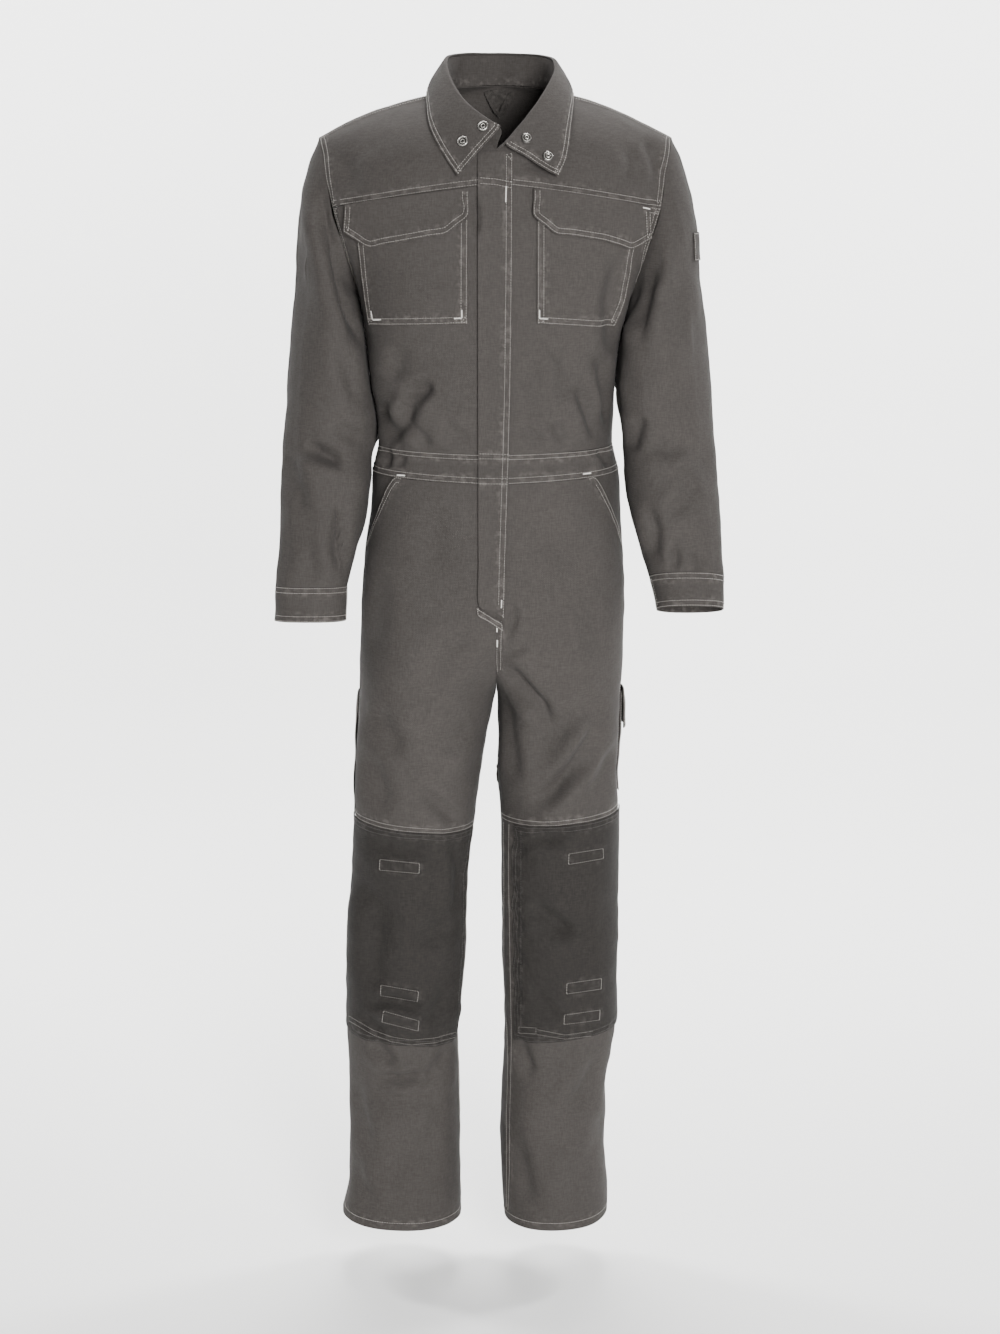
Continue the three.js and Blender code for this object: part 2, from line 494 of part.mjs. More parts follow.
// Edge of the armhole as trunk and sleeve share it: the way a raw edge faces, halfway between
// the two pieces, so that their edges lie side by side without crossing
function armholeEdge(side, face, v) {
  const list = armholeLevels[`${side} ${face}`];
  const total = list[list.length - 1].length;
  const near = list.findIndex((entry) => entry.v >= v - 1e-9);
  const share = list[near < 0 ? list.length - 1 : near].length / total;
  const round = face < 0 ? share / 2 : 1 - share / 2;
  const trunk = bodyPoint("trunk", side, face, 1, v);
  const sleeve = normalFrom(
    (a, b) => sleeveBase(side, a, Math.max(0, b)),
    THREE.MathUtils.clamp(round, 0.004, 0.996), 0.03, 0.004, 0.02,
  ).multiplyScalar(-side);
  const facing = trunk.normal.clone().add(sleeve);
  const point = armhole(side, face, v);
  if (v - ARMPIT < 1e-6) {
    facing.y = 0;
    point.y += (face * SEAM_GAP) / 2;
  }
  facing.normalize();
  const run = armhole(side, face, Math.min(SHOULDER, v + 0.05))
    .sub(armhole(side, face, Math.max(ARMPIT, v - 0.05))).normalize();
  const away = new THREE.Vector3().crossVectors(run, facing).normalize();
  if (away.x * side < 0) away.negate();
  if (v - ARMPIT < 1e-6) away.setY(0).normalize();
  return { point, facing, away };
}

// A closed wall from grids of outer points. Each point's own direction gives the inner one, grids
// that share points are one piece of cloth, and every free edge gets its rim.
function wall(grids, thickness = CLOTH) {
  const ids = new Map();
  const id = (item) => {
    if (!ids.has(item)) ids.set(item, ids.size);
    return ids.get(item);
  };
  const outer = [];
  for (const rows of grids) {
    const [m, n] = [Math.floor(rows.length / 2), Math.floor(rows[0].length / 2)];
    const across = rows[m][n].point.clone().sub(rows[m][n - 1].point);
    const up = rows[m][n].point.clone().sub(rows[m - 1][n].point);
    const flip = across.cross(up).dot(rows[m][n].normal) < 0;
    for (let r = 0; r < rows.length - 1; r++) {
      for (let c = 0; c < rows[0].length - 1; c++) {
        const cell = [rows[r][c], rows[r][c + 1], rows[r + 1][c + 1], rows[r + 1][c]];
        const [a, b, d, e] = cell.map(id);
        const rising = cell[0].point.distanceTo(cell[2].point);
        const falling = cell[1].point.distanceTo(cell[3].point);
        const made = falling < 0.9 * rising ? [[a, b, e], [b, d, e]] : [[a, b, d], [a, d, e]];
        outer.push(...made.map(([i, j, k]) => (flip ? [i, k, j] : [i, j, k])));
      }
    }
  }
  const count = ids.size;
  const edges = new Set(outer.flatMap(([a, b, c]) => [`${a} ${b}`, `${b} ${c}`, `${c} ${a}`]));
  const faces = outer.flatMap(([a, b, c]) => [a, b, c, count + a, count + c, count + b]);
  for (const edge of edges) {
    const [a, b] = edge.split(" ").map(Number);
    if (!edges.has(`${b} ${a}`)) faces.push(a, count + a, count + b, a, count + b, b);
  }
  const items = [...ids.keys()];
  const positions = [0, thickness].flatMap((depth) =>
    items.flatMap(({ point, normal }) => point.clone().addScaledVector(normal, -depth).toArray()));
  const geometry = new THREE.BufferGeometry();
  geometry.setAttribute("position", new THREE.Float32BufferAttribute(positions, 3));
  geometry.setIndex(faces);
  geometry.computeVertexNormals();
  return geometry;
}

const twill = new THREE.MeshStandardMaterial({ color: 0x5b5754, roughness: 0.9, metalness: 0 });
const kneeCloth = new THREE.MeshStandardMaterial({ color: 0x4a4745, roughness: 0.85, metalness: 0 });
const webbing = new THREE.MeshStandardMaterial({ color: 0x55524f, roughness: 0.9, metalness: 0 });
const steel = new THREE.MeshStandardMaterial({ color: 0xb8b7b2, roughness: 0.35, metalness: 1 });

const suit = new THREE.Group();
function add(name, geometry, material = twill) {
  const mesh = new THREE.Mesh(geometry, material);
  mesh.name = name;
  suit.add(mesh);
  return mesh;
}

// Levels from one row of a table to another, each gap cut into steps of about the given height;
// reach tells how far apart two levels are
function levels(from, to, reach, step = ROW_STEP) {
  const list = [from];
  const way = Math.sign(to - from);
  for (let k = from; k !== to; k += way) {
    const steps = Math.max(1, Math.round(reach(k, k + way) / step));
    for (let i = 1; i <= steps; i++) list.push(k + (way * i) / steps);
  }
  return list;
}
const heightGap = (heightOf) => (a, b) => Math.abs(heightOf(a) - heightOf(b));
const sectionGap = (face) => (a, b) => Math.max(...[0, 0.5, 1].map((t) =>
  trunkSection(1, face, a).at(t).distanceTo(trunkSection(1, face, b).at(t))));

const trunkHeight = (k) => trunkSection(1, -1, k).at(0.6).z;
const legHeight = (k) => legSection(1, -1, k).at(0.5).z;

// Moves the first and last level in by half a seam
function pulledIn(list, heightOf) {
  const reach = (v, w) => Math.abs(heightOf(v) - heightOf(w)) / Math.abs(v - w);
  const out = [...list];
  const last = out.length - 1;
  const way = Math.sign(out[last] - out[0]);
  const first = SEAM_GAP / 2 / reach(out[0], out[1]);
  const final = SEAM_GAP / 2 / reach(out[last], out[last - 1]);
  out[0] += way * first;
  out[last] -= way * final;
  return out;
}

// Shares across a section, with half a seam left at either end
function shares(length, count, from = 0, to = 1, gapFrom = SEAM_GAP / 2, gapTo = SEAM_GAP / 2) {
  const list = [];
  for (let i = 0; i <= count; i++) list.push(from + ((to - from) * i) / count);
  list[0] += gapFrom / length;
  list[count] -= gapTo / length;
  return list;
}

const sectionOf = { trunk: trunkSection, leg: legSection };

// Rows of a body panel; edges of the armhole take their shared direction
function panelRows(part, side, face, list, from = 0, to = 1) {
  return list.map((v) => {
    const open = part === "trunk" && v > ARMPIT - 1e-6;
    const length = sectionOf[part](side, face, v).total;
    const neck = part === "trunk" && v > (face < 0 ? NECK_NOTCH : NAPE) + 1e-6;
    const end = typeof to === "function" ? to(v) : to;
    const cols = shares(length, COLUMNS, from, end, neck ? 0 : SEAM_GAP / 2, open ? 0 : SEAM_GAP / 2);
    return cols.map((t, i) => {
      if (!open || i < COLUMNS) return bodyPoint(part, side, face, t, v);
      const edge = armholeEdge(side, face, v);
      return { point: edge.point, normal: edge.facing };
    });
  });
}

// At the shoulder seam both walls stand square to the seam, so their edges lie face to face
function squareShoulder(rows) {
  for (const item of rows[rows.length - 1]) {
    item.normal = item.normal.clone().setY(0).normalize();
  }
  return rows;
}

const armholeRows = {
  [-1]: levels(ARMPIT, SHOULDER, sectionGap(-1), ARMHOLE_STEP),
  [1]: levels(ARMPIT, SHOULDER, sectionGap(1), ARMHOLE_STEP),
};
const lowerRows = levels(0, ARMPIT, heightGap(trunkHeight));
const frontRows = [...lowerRows, ...armholeRows[-1].slice(1).filter((v) => v <= YOKE_SEAM)];
const yokeRows = armholeRows[-1].filter((v) => v >= YOKE_SEAM);
const backRows = [...lowerRows, ...armholeRows[1].slice(1)];

const handOf = (side) => (side < 0 ? "right" : "left");

for (const side of [-1, 1]) {
  add(`front_${handOf(side)}`, wall([panelRows("trunk", side, -1, pulledIn(frontRows, trunkHeight))]));
  const yoke = squareShoulder(panelRows("trunk", side, -1, pulledIn(yokeRows, trunkHeight)));
  add(`yoke_${handOf(side)}`, wall([yoke]));
}

// The back is one piece. Above the nape its two wings part round the neck.
{
  const list = pulledIn(backRows, trunkHeight);
  const halves = [-1, 1].map((side) => squareShoulder(panelRows("trunk", side, 1, list)));
  const nape = list.findIndex((v) => Math.abs(v - NAPE) < 1e-6);
  const body = [];
  for (let j = 0; j <= nape; j++) {
    const centre = bodyPoint("trunk", 1, 1, 0, list[j]);
    centre.normal.setX(0).normalize();
    for (const half of halves) half[j][0] = centre;
    body.push([...halves[0][j].slice(1).reverse(), ...halves[1][j]]);
  }
  add("back", wall([body, ...halves.map((half) => half.slice(nape))]));
}

// The waistband runs all round and ends at the placket.
{
  const edge = SEAM_GAP / 2 / (WAIST_TOP - WAIST_BOTTOM);
  const rows = [edge, 0.5, 1 - edge].map((level) => {
    const quarter = (side, face, t) => bodyPoint("band", side, face, t, level);
    const cols = shares(WAIST_QUARTER, COLUMNS, 0, 1, SEAM_GAP / 2, 0);
    const back = [...cols].reverse().slice(1);
    return [
      ...cols.map((t) => quarter(-1, -1, t)),
      ...back.map((t) => quarter(-1, 1, t === cols[0] ? 0 : t)),
      ...cols.slice(1).map((t) => quarter(1, 1, t)),
      ...back.map((t) => quarter(1, -1, t)),
    ];
  });
  add("waistband", wall([rows]));
}

// Trousers: a thigh and a shin, in front and behind, with the knee seam between them
const thighRows = levels(0, KNEE_SEAM, heightGap(legHeight));
const thighBackRows = levels(0, KNEE_SEAM, heightGap(legHeight), LEG_STEP);
const shinRows = levels(KNEE_SEAM, HEM, heightGap(legHeight), LEG_STEP);

// Share of the front where the hip pocket's slanted mouth lies: 1 below its end
const HIP_MOUTH = [{ share: 0.62 }, { share: 0.78 }, { share: 1 }];
const hipMouth = (v) => (v >= 2 ? 1 : column(HIP_MOUTH, "share", v));

for (const side of [-1, 1]) {
  const hand = handOf(side);
  const thigh = panelRows("leg", side, -1, pulledIn(thighRows, legHeight), 0, hipMouth);
  add(`thigh_front_${hand}`, wall([thigh]));
  add(`shin_front_${hand}`, wall([panelRows("leg", side, -1, pulledIn(shinRows, legHeight))]));
  add(`thigh_back_${hand}`, wall([panelRows("leg", side, 1, pulledIn(thighBackRows, legHeight))]));
  add(`shin_back_${hand}`, wall([panelRows("leg", side, 1, pulledIn(shinRows, legHeight))]));
}

// Sleeves: a front and a back half each, which meet under the arm and along the outer line, and
// an upper arm and a forearm of each half, which meet at the elbow
const ELBOW = 4;
for (const side of [-1, 1]) {
  const hand = handOf(side);
  const heightOf = (h) => sleeveBase(side, 0.5, h).z;
  const cap = [];
  for (let i = 0; i <= CAP_ROWS; i++) cap.push((i / CAP_ROWS) ** 1.3);
  const list = [...cap, ...levels(1, 1 + WRIST, heightGap(heightOf)).slice(1)];
  const halfSeam = SEAM_GAP / 2 / SLEEVE_GIRTH;
  const round = [];
  for (const face of [-1, 1]) {
    const entries = armholeLevels[`${side} ${face}`];
    const whole = entries[entries.length - 1].length;
    const half = armholeRows[face].map((v) => {
      const near = entries.findIndex((entry) => entry.v >= v - 1e-9);
      const share = near < 0 ? 1 : entries[near].length / whole;
      return { v, round: face < 0 ? share / 2 : 1 - share / 2 };
    });
    const last = half.length - 1;
    half[0].round -= face * halfSeam;
    half[last].round += face * halfSeam;
    const rowsOf = (name, part) => pulledIn(part, heightOf).map((h, j) => half.map((col, i) => {
      if (j > 0 || name === "forearm") {
        const made = sleevePoint(side, col.round, h);
        if (i === 0 || i === last) made.normal.setY(0).normalize();
        return made;
      }
      const { point, facing, away } = armholeEdge(side, face, col.v);
      const nearArmpit = Math.max(0, 1 - (col.v - ARMPIT) / 1.5);
      point.addScaledVector(away, THREE.MathUtils.lerp(ARMHOLE_GAP, ARMPIT_GAP, nearArmpit));
      if (i < last) return { point, normal: facing };
      point.y += (face * SEAM_GAP) / 2;
      return { point, normal: facing.setY(0).normalize() };
    }));
    for (const name of ["upper_arm", "forearm"]) {
      const part = list.filter((h) => (name === "forearm" ? h >= ELBOW : h <= ELBOW));
      add(`${name}_${face < 0 ? "front" : "back"}_${hand}`, wall([rowsOf(name, part)]));
    }
    round.push(...half.map((col) => col.round).sort((p, q) => p - q).slice(face < 0 ? 0 : 1));
  }

  const cuff = [0, 1, 2].map((k) => {
    const h = 1 + WRIST + (k === 0 ? SEAM_GAP / 2 / CUFF_HEIGHT : k / 2);
    return round.map((share) => sleevePoint(side, THREE.MathUtils.clamp(share, CUFF_END, 1 - CUFF_END), h));
  });
  add(`cuff_${hand}`, wall([cuff], CLOTH + 0.3));
}

// Share across a section where it stands at a given width from the centre plane
function shareAt(part, side, face, v, out) {
  let [low, high] = [0, 1];
  for (let i = 0; i < 24; i++) {
    const t = (low + high) / 2;
    if (side * bodyBase(part, side, face, t, v).x < out) low = t;
    else high = t;
  }
  return (low + high) / 2;
}

// The level where a section stands at a given height, at a given width
function levelOf(part, side, face, out, z, from, to) {
  let [low, high] = [from, to];
  const height = (v) => bodyBase(part, side, face, shareAt(part, side, face, v, out), v).z;
  const rising = height(to) > height(from);
  for (let i = 0; i < 24; i++) {
    const v = (low + high) / 2;
    if (height(v) < z === rising) low = v;
    else high = v;
  }
  return (low + high) / 2;
}

// A point of the front or back by its place in the front view: x signed, from the centre plane
function placed(part, face, x, z, from, to) {
  const side = x < 0 ? -1 : 1;
  const v = levelOf(part, side, face, Math.abs(x), z, from, to);
  return bodyPoint(part, side, face, shareAt(part, side, face, v, Math.abs(x)), v);
}

function lifted(item, height) {
  return { point: item.point.clone().addScaledVector(item.normal, height), normal: item.normal };
}

// Grid of points between column tables: each column has its own top and bottom
function laidGrid(columns, rowCount, at, lift) {
  const rows = [];
  for (let j = 0; j <= rowCount; j++) {
    rows.push(columns.map(({ out, top, bottom }, i) => {
      const w = j / rowCount;
      const height = typeof lift === "function" ? lift(i / (columns.length - 1), w) : lift;
      return lifted(at(out, top + (bottom - top) * w), height);
    }));
  }
  return rows;
}

// Splits the gaps of a column table into steps of about the given width
function split(columns, step) {
  const list = [columns[0]];
  for (let i = 1; i < columns.length; i++) {
    const [a, b] = [columns[i - 1], columns[i]];
    const count = Math.max(1, Math.round((b.out - a.out) / step));
    for (let k = 1; k <= count; k++) {
      const f = k / count;
      list.push({
        out: a.out + (b.out - a.out) * f,
        top: a.top + (b.top - a.top) * f,
        bottom: a.bottom + (b.bottom - a.bottom) * f,
      });
    }
  }
  return list;
}

// Chest pockets and their flaps
const POCKET_CLOTH = 1.1;
const POCKET_GAP = 1.8; // the chest curves more than a flat pocket follows
const FLAP_LIFT = POCKET_GAP + POCKET_CLOTH + 0.6;
for (const side of [-1, 1]) {
  const hand = handOf(side);
  const at = (out, z) => placed("trunk", -1, side * out, z, 0, YOKE_SEAM + 0.3);
  const cut = CHEST_POCKET[side];
  const count = 11;
  const rows = [];
  for (let j = 0; j <= 4; j++) {
    const w = j / 4;
    const inner = cut.topIn + (cut.bottomIn - cut.topIn) * w;
    const outer = cut.topOut + (cut.bottomOut - cut.topOut) * w;
    const row = [];
    for (let i = 0; i <= count; i++) {
      const f = i / count;
      const top = cut.top + cut.topFall * f;
      const bottom = cut.bottomInZ + (cut.bottomOutZ - cut.bottomInZ) * f;
      row.push(lifted(at(inner + (outer - inner) * f, top + (bottom - top) * w), POCKET_GAP + POCKET_CLOTH));
    }
    rows.push(row);
  }
  add(`chest_pocket_${hand}`, wall([rows], POCKET_CLOTH));
  const flap = laidGrid(split(CHEST_FLAP[side], 14), 2, at, (u, w) => FLAP_LIFT + CLOTH + 2.2 * w * w);
  add(`chest_flap_${hand}`, wall([flap]));
}

// The placket lies over the zip from the neck to the fly, across the waistband
const PLACKET_CLOTH = 1.3;
const flyLevel = levelOf("leg", 1, -1, 5, FLY_END, 0, CROTCH);
{
  const stops = [
    ...frontRows.concat(yokeRows.slice(1)).filter((v) => v <= NECK_NOTCH).reverse().map((v) => ["trunk", v]),
    ["band", 0.5],
    ...thighRows.filter((v) => v < flyLevel - 0.15).map((v) => ["leg", v]),
    ["leg", flyLevel],
  ];
  const rows = stops.map(([part, v], j) => {
    const share = j / (stops.length - 1);
    const right = PLACKET.sewnEdgeTop + (PLACKET.sewnEdgeBottom - PLACKET.sewnEdgeTop) * share ** 2;
    const row = [];
    for (let i = 0; i <= 3; i++) {
      const x = -PLACKET.freeEdge + (right + PLACKET.freeEdge) * (i / 3);
      const side = x < 0 ? -1 : 1;
      const fall = j === stops.length - 1 ? ((PLACKET.cutFall / PLACKET.lastRow) * i) / 3 : 0;
      const level = v + fall;
      const made = bodyPoint(part, side, -1, shareAt(part, side, -1, level, Math.abs(x)), level);
      row.push(lifted(made, LAID_GAP + PLACKET_CLOTH));
    }
    return row;
  });
  add("placket", wall([rows], PLACKET_CLOTH));
}

// The fly tab, a slanted bar over the lower end of the placket
{
  const rows = [0, 1].map((w) => {
    const row = [];
    for (let i = 0; i <= 4; i++) {
      const f = i / 4;
      const x = FLY_TAB.x0 + (FLY_TAB.x1 - FLY_TAB.x0) * f;
      const z = FLY_TAB.z + FLY_TAB.fall * f - FLY_TAB.height * w;
      row.push(lifted(placed("leg", -1, x, z, 0, CROTCH), LAID_GAP + POCKET_CLOTH));
    }
    return row;
  });
  add("fly_tab", wall([rows], POCKET_CLOTH));
}

// Knee patches, from the shins' own points
const PATCH_CLOTH = 1.2;
const PATCH_START = { [-1]: 1, [1]: 2 }; // first column of the shin that the patch covers
for (const side of [-1, 1]) {
  const rows = panelRows("leg", side, -1, pulledIn(shinRows, legHeight).filter((v) => v <= PATCH_END + 1e-6))
    .map((row) => row.slice(PATCH_START[side]).map((item) => lifted(item, LAID_GAP + PATCH_CLOTH)));
  add(`knee_patch_${handOf(side)}`, wall([rows], PATCH_CLOTH), kneeCloth);
}

// Facings that show behind the mouths of the hip pockets
const FACING = { end: 1.72, under: 0.055, sink: 5, cloth: 1.2, columns: 5 };
for (const side of [-1, 1]) {
  const list = pulledIn([0, 0.45, 0.9, 1.3, FACING.end], legHeight);
  const rows = list.map((v) => {
    const mouth = hipMouth(v);
    const total = legSection(side, -1, v).total;
    const stops = [mouth - FACING.under, mouth];
    for (let i = 1; i < FACING.columns; i++) stops.push(mouth + ((1 - mouth) * i) / (FACING.columns - 1));
    return stops.map((share, i) => {
      const t = Math.min(share, 1 - SEAM_GAP / 2 / total);
      const rise = Math.max(0, (i - 2) / (stops.length - 3));
      return lifted(bodyPoint("leg", side, -1, t, v), -FACING.sink * (1 - rise));
    });
  });
  add(`hip_facing_${handOf(side)}`, wall([rows], FACING.cloth));
}

// Pockets on the outside of the thighs, and the flap of the left one
const LEG_LAID = 1; // these lie over soft folds, so they keep a little more room
function puffed(cut, u, w) {
  return cut.puff * Math.sin(Math.PI * u) ** 0.7 * Math.sin(Math.PI * Math.min(1, w * 0.9 + 0.1)) ** 0.6;
}
function thighPiece(cut, columns, rowCount, lift) {
  const rows = [];
  const level = (z) => levelOf("leg", cut.side, 1, 150, z, CROTCH, PATCH_END);
  const [top, bottom] = [level(cut.top), level(cut.bottom)];
  for (let j = 0; j <= rowCount; j++) {
    const v = top + ((bottom - top) * j) / rowCount;
    const row = [];
    for (let i = 0; i <= columns; i++) {
      const t = cut.from + ((cut.to - cut.from) * i) / columns;
      row.push(lifted(bodyPoint("leg", cut.side, 1, t, v), lift(i / columns, j / rowCount)));
    }
    rows.push(row);
  }
  return rows;
}
add("thigh_pocket", wall([
  thighPiece(THIGH_POCKET, 12, 5, (u, w) => LEG_LAID + POCKET_CLOTH + puffed(THIGH_POCKET, u, w)),
], POCKET_CLOTH));
add("rule_pocket", wall([
  thighPiece(RULE_POCKET, 6, 6, (u, w) => LEG_LAID + POCKET_CLOTH + puffed(RULE_POCKET, u, w)),
], POCKET_CLOTH));
add("thigh_flap", wall([
  thighPiece(THIGH_FLAP, 12, 3, (u, w) => {
    const inside = (w * (THIGH_FLAP.top - THIGH_FLAP.bottom) - (THIGH_FLAP.top - THIGH_POCKET.top))
      / (THIGH_POCKET.top - THIGH_POCKET.bottom);
    const under = inside > 0 ? puffed(THIGH_POCKET, THREE.MathUtils.clamp(u * 1.02, 0, 1), inside) : 0;
    return LEG_LAID + POCKET_CLOTH + 1.4 + CLOTH + under + 2.5 * w;
  }),
]));

// Bare badge place on the left sleeve
{
  const rows = [];
  for (let j = 0; j <= 2; j++) {
    const z = BADGE.drop0 + ((BADGE.drop1 - BADGE.drop0) * j) / 2;
    const row = [];
    for (let i = 0; i <= 4; i++) {
      const round = BADGE.round0 + ((BADGE.round1 - BADGE.round0) * i) / 4;
      let [low, high] = [0, 1];
      for (let k = 0; k < 20; k++) {
        const h = (low + high) / 2;
        if (sleeveBase(BADGE.side, round, h).z > z) low = h;
        else high = h;
      }
      row.push(lifted(sleevePoint(BADGE.side, round, low), LAID_GAP + POCKET_CLOTH));
    }
    rows.push(row);
  }
  add("sleeve_badge", wall([rows], POCKET_CLOTH));
}

// Neck label, bare, on the inside of the back below the nape
const insideBack = (x, z, depth) => {
  const item = placed("trunk", 1, x, z, YOKE_SEAM, NAPE);
  const point = item.point.clone().addScaledVector(item.normal, -depth);
  return { point, normal: item.normal.clone().negate() };
};
{
  const rows = [0, 0.5, 1].map((w) => [0, 0.5, 1].map((f) =>
    insideBack(LABEL.x0 + (LABEL.x1 - LABEL.x0) * f, LABEL.top + (LABEL.bottom - LABEL.top) * w, LABEL.depth)));
  add("neck_label", wall([rows], 0.8), webbing);
}

// Hanger loop: a strap sewn in at the nape that hangs in a V
{
  const middle = (LOOP.left + LOOP.right) / 2;
  const path = [];
  for (let i = 0; i <= 8; i++) {
    const f = i / 4 - 1;
    const drop = (1 - Math.abs(f) ** 1.25) * (LOOP.top - LOOP.bottom);
    path.push({ x: middle + ((LOOP.right - LOOP.left) / 2) * f, z: LOOP.top - drop });
  }
  const rows = path.map((centre, i) => {
    const [a, b] = [path[Math.max(0, i - 1)], path[Math.min(8, i + 1)]];
    const length = Math.hypot(b.x - a.x, b.z - a.z);
    const depth = CLOTH + 3.1 + LOOP.proud * Math.sin((Math.PI * i) / 8) ** 0.5;
    return [-1, 1].map((s) => {
      const half = (s * LOOP.width) / 2;
      return insideBack(centre.x - (half * (b.z - a.z)) / length, centre.z + (half * (b.x - a.x)) / length, depth);
    });
  });
  add("hanger_loop", wall([rows], 1.2), webbing);
}

// Collar: the neckline seen from above, from the nape to the notch
const necklines = {};
for (const side of [-1, 1]) {
  const points = [];
  for (let i = 0; i <= 40; i++) {
    points.push(trunkSection(side, 1, NAPE + ((SHOULDER - NAPE) * i) / 40).at(0));
  }
  for (let i = 1; i <= 60; i++) {
    points.push(trunkSection(side, -1, SHOULDER - ((SHOULDER - NECK_NOTCH) * i) / 60).at(0));
  }
  necklines[side] = along(points);
}
const STATIONS = 6;
const collarAt = (side, u, name) => column(COLLAR[side], name, u * STATIONS);
const stationPoint = (side, u, line) =>
  new THREE.Vector3(...["X", "Y", "Z"].map((axis) => collarAt(side, u, line + axis)));
const foldPoint = (side, u) => stationPoint(side, u, "fold");
const edgePoint = (side, u) => stationPoint(side, u, "edge");

// Which way is outwards from the neck at a station of the fold
const NECK_CENTRE = new THREE.Vector3(6, -20, 0);
function outwards(side, u) {
  const run = foldPoint(side, Math.min(1, u + 0.02)).sub(foldPoint(side, Math.max(0, u - 0.02)));
  if (u < 0.001) run.set(side, 0, 0);
  const out = new THREE.Vector3(run.y, -run.x, 0).normalize();
  const fromNeck = foldPoint(side, u).setZ(0).sub(NECK_CENTRE);
  return out.dot(fromNeck) < 0 ? out.negate() : out;
}

// Leaf of the collar: r runs from the neck side of the fold, over it, and down to the outer edge
const LEAF_TURN = [
  { r: 0, out: -2.6, up: 2.6 },
  { r: 1, out: 1.4, up: 3.2 },
  { r: 2, out: 5.2, up: -1.5 },
];
const LEAF_ROWS = 6;
const STAND_TOP_GAP = 0.5; // under the fold of the leaf
const STAND_INSET = 0.9; // the stand's foot inside the neckline
const STAND_LIFT = 0.5; // and above it
function leafPoint(side, u, r) {
  const out = outwards(side, u);
  const fold = foldPoint(side, u);
  const turn = (k) => {
    const made = fold.clone().addScaledVector(out, LEAF_TURN[k].out);
    made.z += LEAF_TURN[k].up;
    return made;
  };
  if (r <= 2) {
    const k = Math.min(1, Math.floor(r));
    return turn(k).lerp(turn(k + 1), r - k);
  }
  const f = (r - 2) / (LEAF_ROWS - 2);
  const bow = 5 * Math.sin(Math.PI * f) * (1 - 0.6 * u);
  return turn(2).lerp(edgePoint(side, u), f).addScaledVector(out, bow);
}

// Gives a grid its directions from its own cells; sign turns them outwards
function withNormals(grid, sign) {
  return grid.map((row, j) => row.map((point, i) => {
    const across = row[Math.min(row.length - 1, i + 1)].clone().sub(row[Math.max(0, i - 1)]);
    const down = grid[Math.min(grid.length - 1, j + 1)][i].clone().sub(grid[Math.max(0, j - 1)][i]);
    return { point, normal: across.cross(down).normalize().multiplyScalar(sign) };
  }));
}

const collarStops = [];
for (let i = -COLLAR_COLUMNS; i <= COLLAR_COLUMNS; i++) {
  collarStops.push({ side: i < 0 ? -1 : 1, u: Math.abs(i) / COLLAR_COLUMNS });
}
{
  const rows = [];
  for (let r = 0; r <= LEAF_ROWS; r++) {
    rows.push(collarStops.map(({ side, u }) => leafPoint(side, u, r)));
  }
  add("collar_leaf", wall([withNormals(rows, 1)], CLOTH));
  const stand = [0, 0.5, 1].map((w) => collarStops.map(({ side, u }) => {
    const out = outwards(side, u);
    const base = necklines[side].at(u).addScaledVector(out, -STAND_INSET).add(new THREE.Vector3(0, 0, STAND_LIFT));
    if (u === 1) base.x = side * 0.3;
    const top = foldPoint(side, u).add(new THREE.Vector3(0, 0, -STAND_TOP_GAP));
    return { point: base.lerp(top, w), normal: out };
  }));
  add("collar_stand", wall([stand], CLOTH));
}

// Snap fasteners: sockets on the right leaf, studs on the left one
const SNAPS = [
  { name: "snap_socket_upper", side: -1, x: -17, z: -45, socket: true },
  { name: "snap_socket_lower", side: -1, x: -41, z: -65, socket: true },
  { name: "snap_stud_upper", side: 1, x: 38, z: -61, socket: false },
  { name: "snap_stud_lower", side: 1, x: 65, z: -82, socket: false },
];
for (const { name, side, x, z, socket } of SNAPS) {
  let best = null;
  for (let i = 60; i <= 100; i++) {
    for (let j = 20; j <= 60; j++) {
      const [u, r] = [i / 100, j / 10];
      const point = leafPoint(side, u, r);
      const miss = Math.hypot(point.x - x, point.z - z);
      if (!best || miss < best.miss) best = { u, r, point, miss };
    }
  }
  const around = (u, r) => leafPoint(side, Math.min(1, u), r);
  const normal = around(best.u + 0.02, best.r).sub(around(best.u - 0.02, best.r))
    .cross(around(best.u, best.r + 0.3).sub(around(best.u, best.r - 0.3))).normalize();
  if (normal.y > 0) normal.negate();
  const { radius, rim, height } = SNAP;
  const profile = socket
    ? [[0, 0], [radius, 0], [radius, rim], [radius - 1.2, height * 0.8], [radius - 3, height * 0.8],
      [radius - 3.6, 0.9], [2, 0.9], [1.2, height * 0.55], [0, height * 0.55]]
    : [[0, 0], [radius - 0.4, 0], [radius - 0.4, rim], [radius - 1.6, rim + 0.5], [3, rim + 0.5],
      [2.4, height + 0.9], [1.2, height + 1.3], [0, height + 1.3]];
  const geometry = new THREE.LatheGeometry(profile.map(([a, b]) => new THREE.Vector2(a, b)), SNAP.sides);
  const snap = add(name, geometry, steel);
  snap.quaternion.setFromUnitVectors(new THREE.Vector3(0, 1, 0), normal);
  snap.position.copy(best.point).addScaledVector(normal, 0.8);
}

export default suit;
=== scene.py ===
import math

import bmesh
import bpy
import numpy as np
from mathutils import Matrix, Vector
from mathutils.bvhtree import BVHTree
from mathutils.kdtree import KDTree


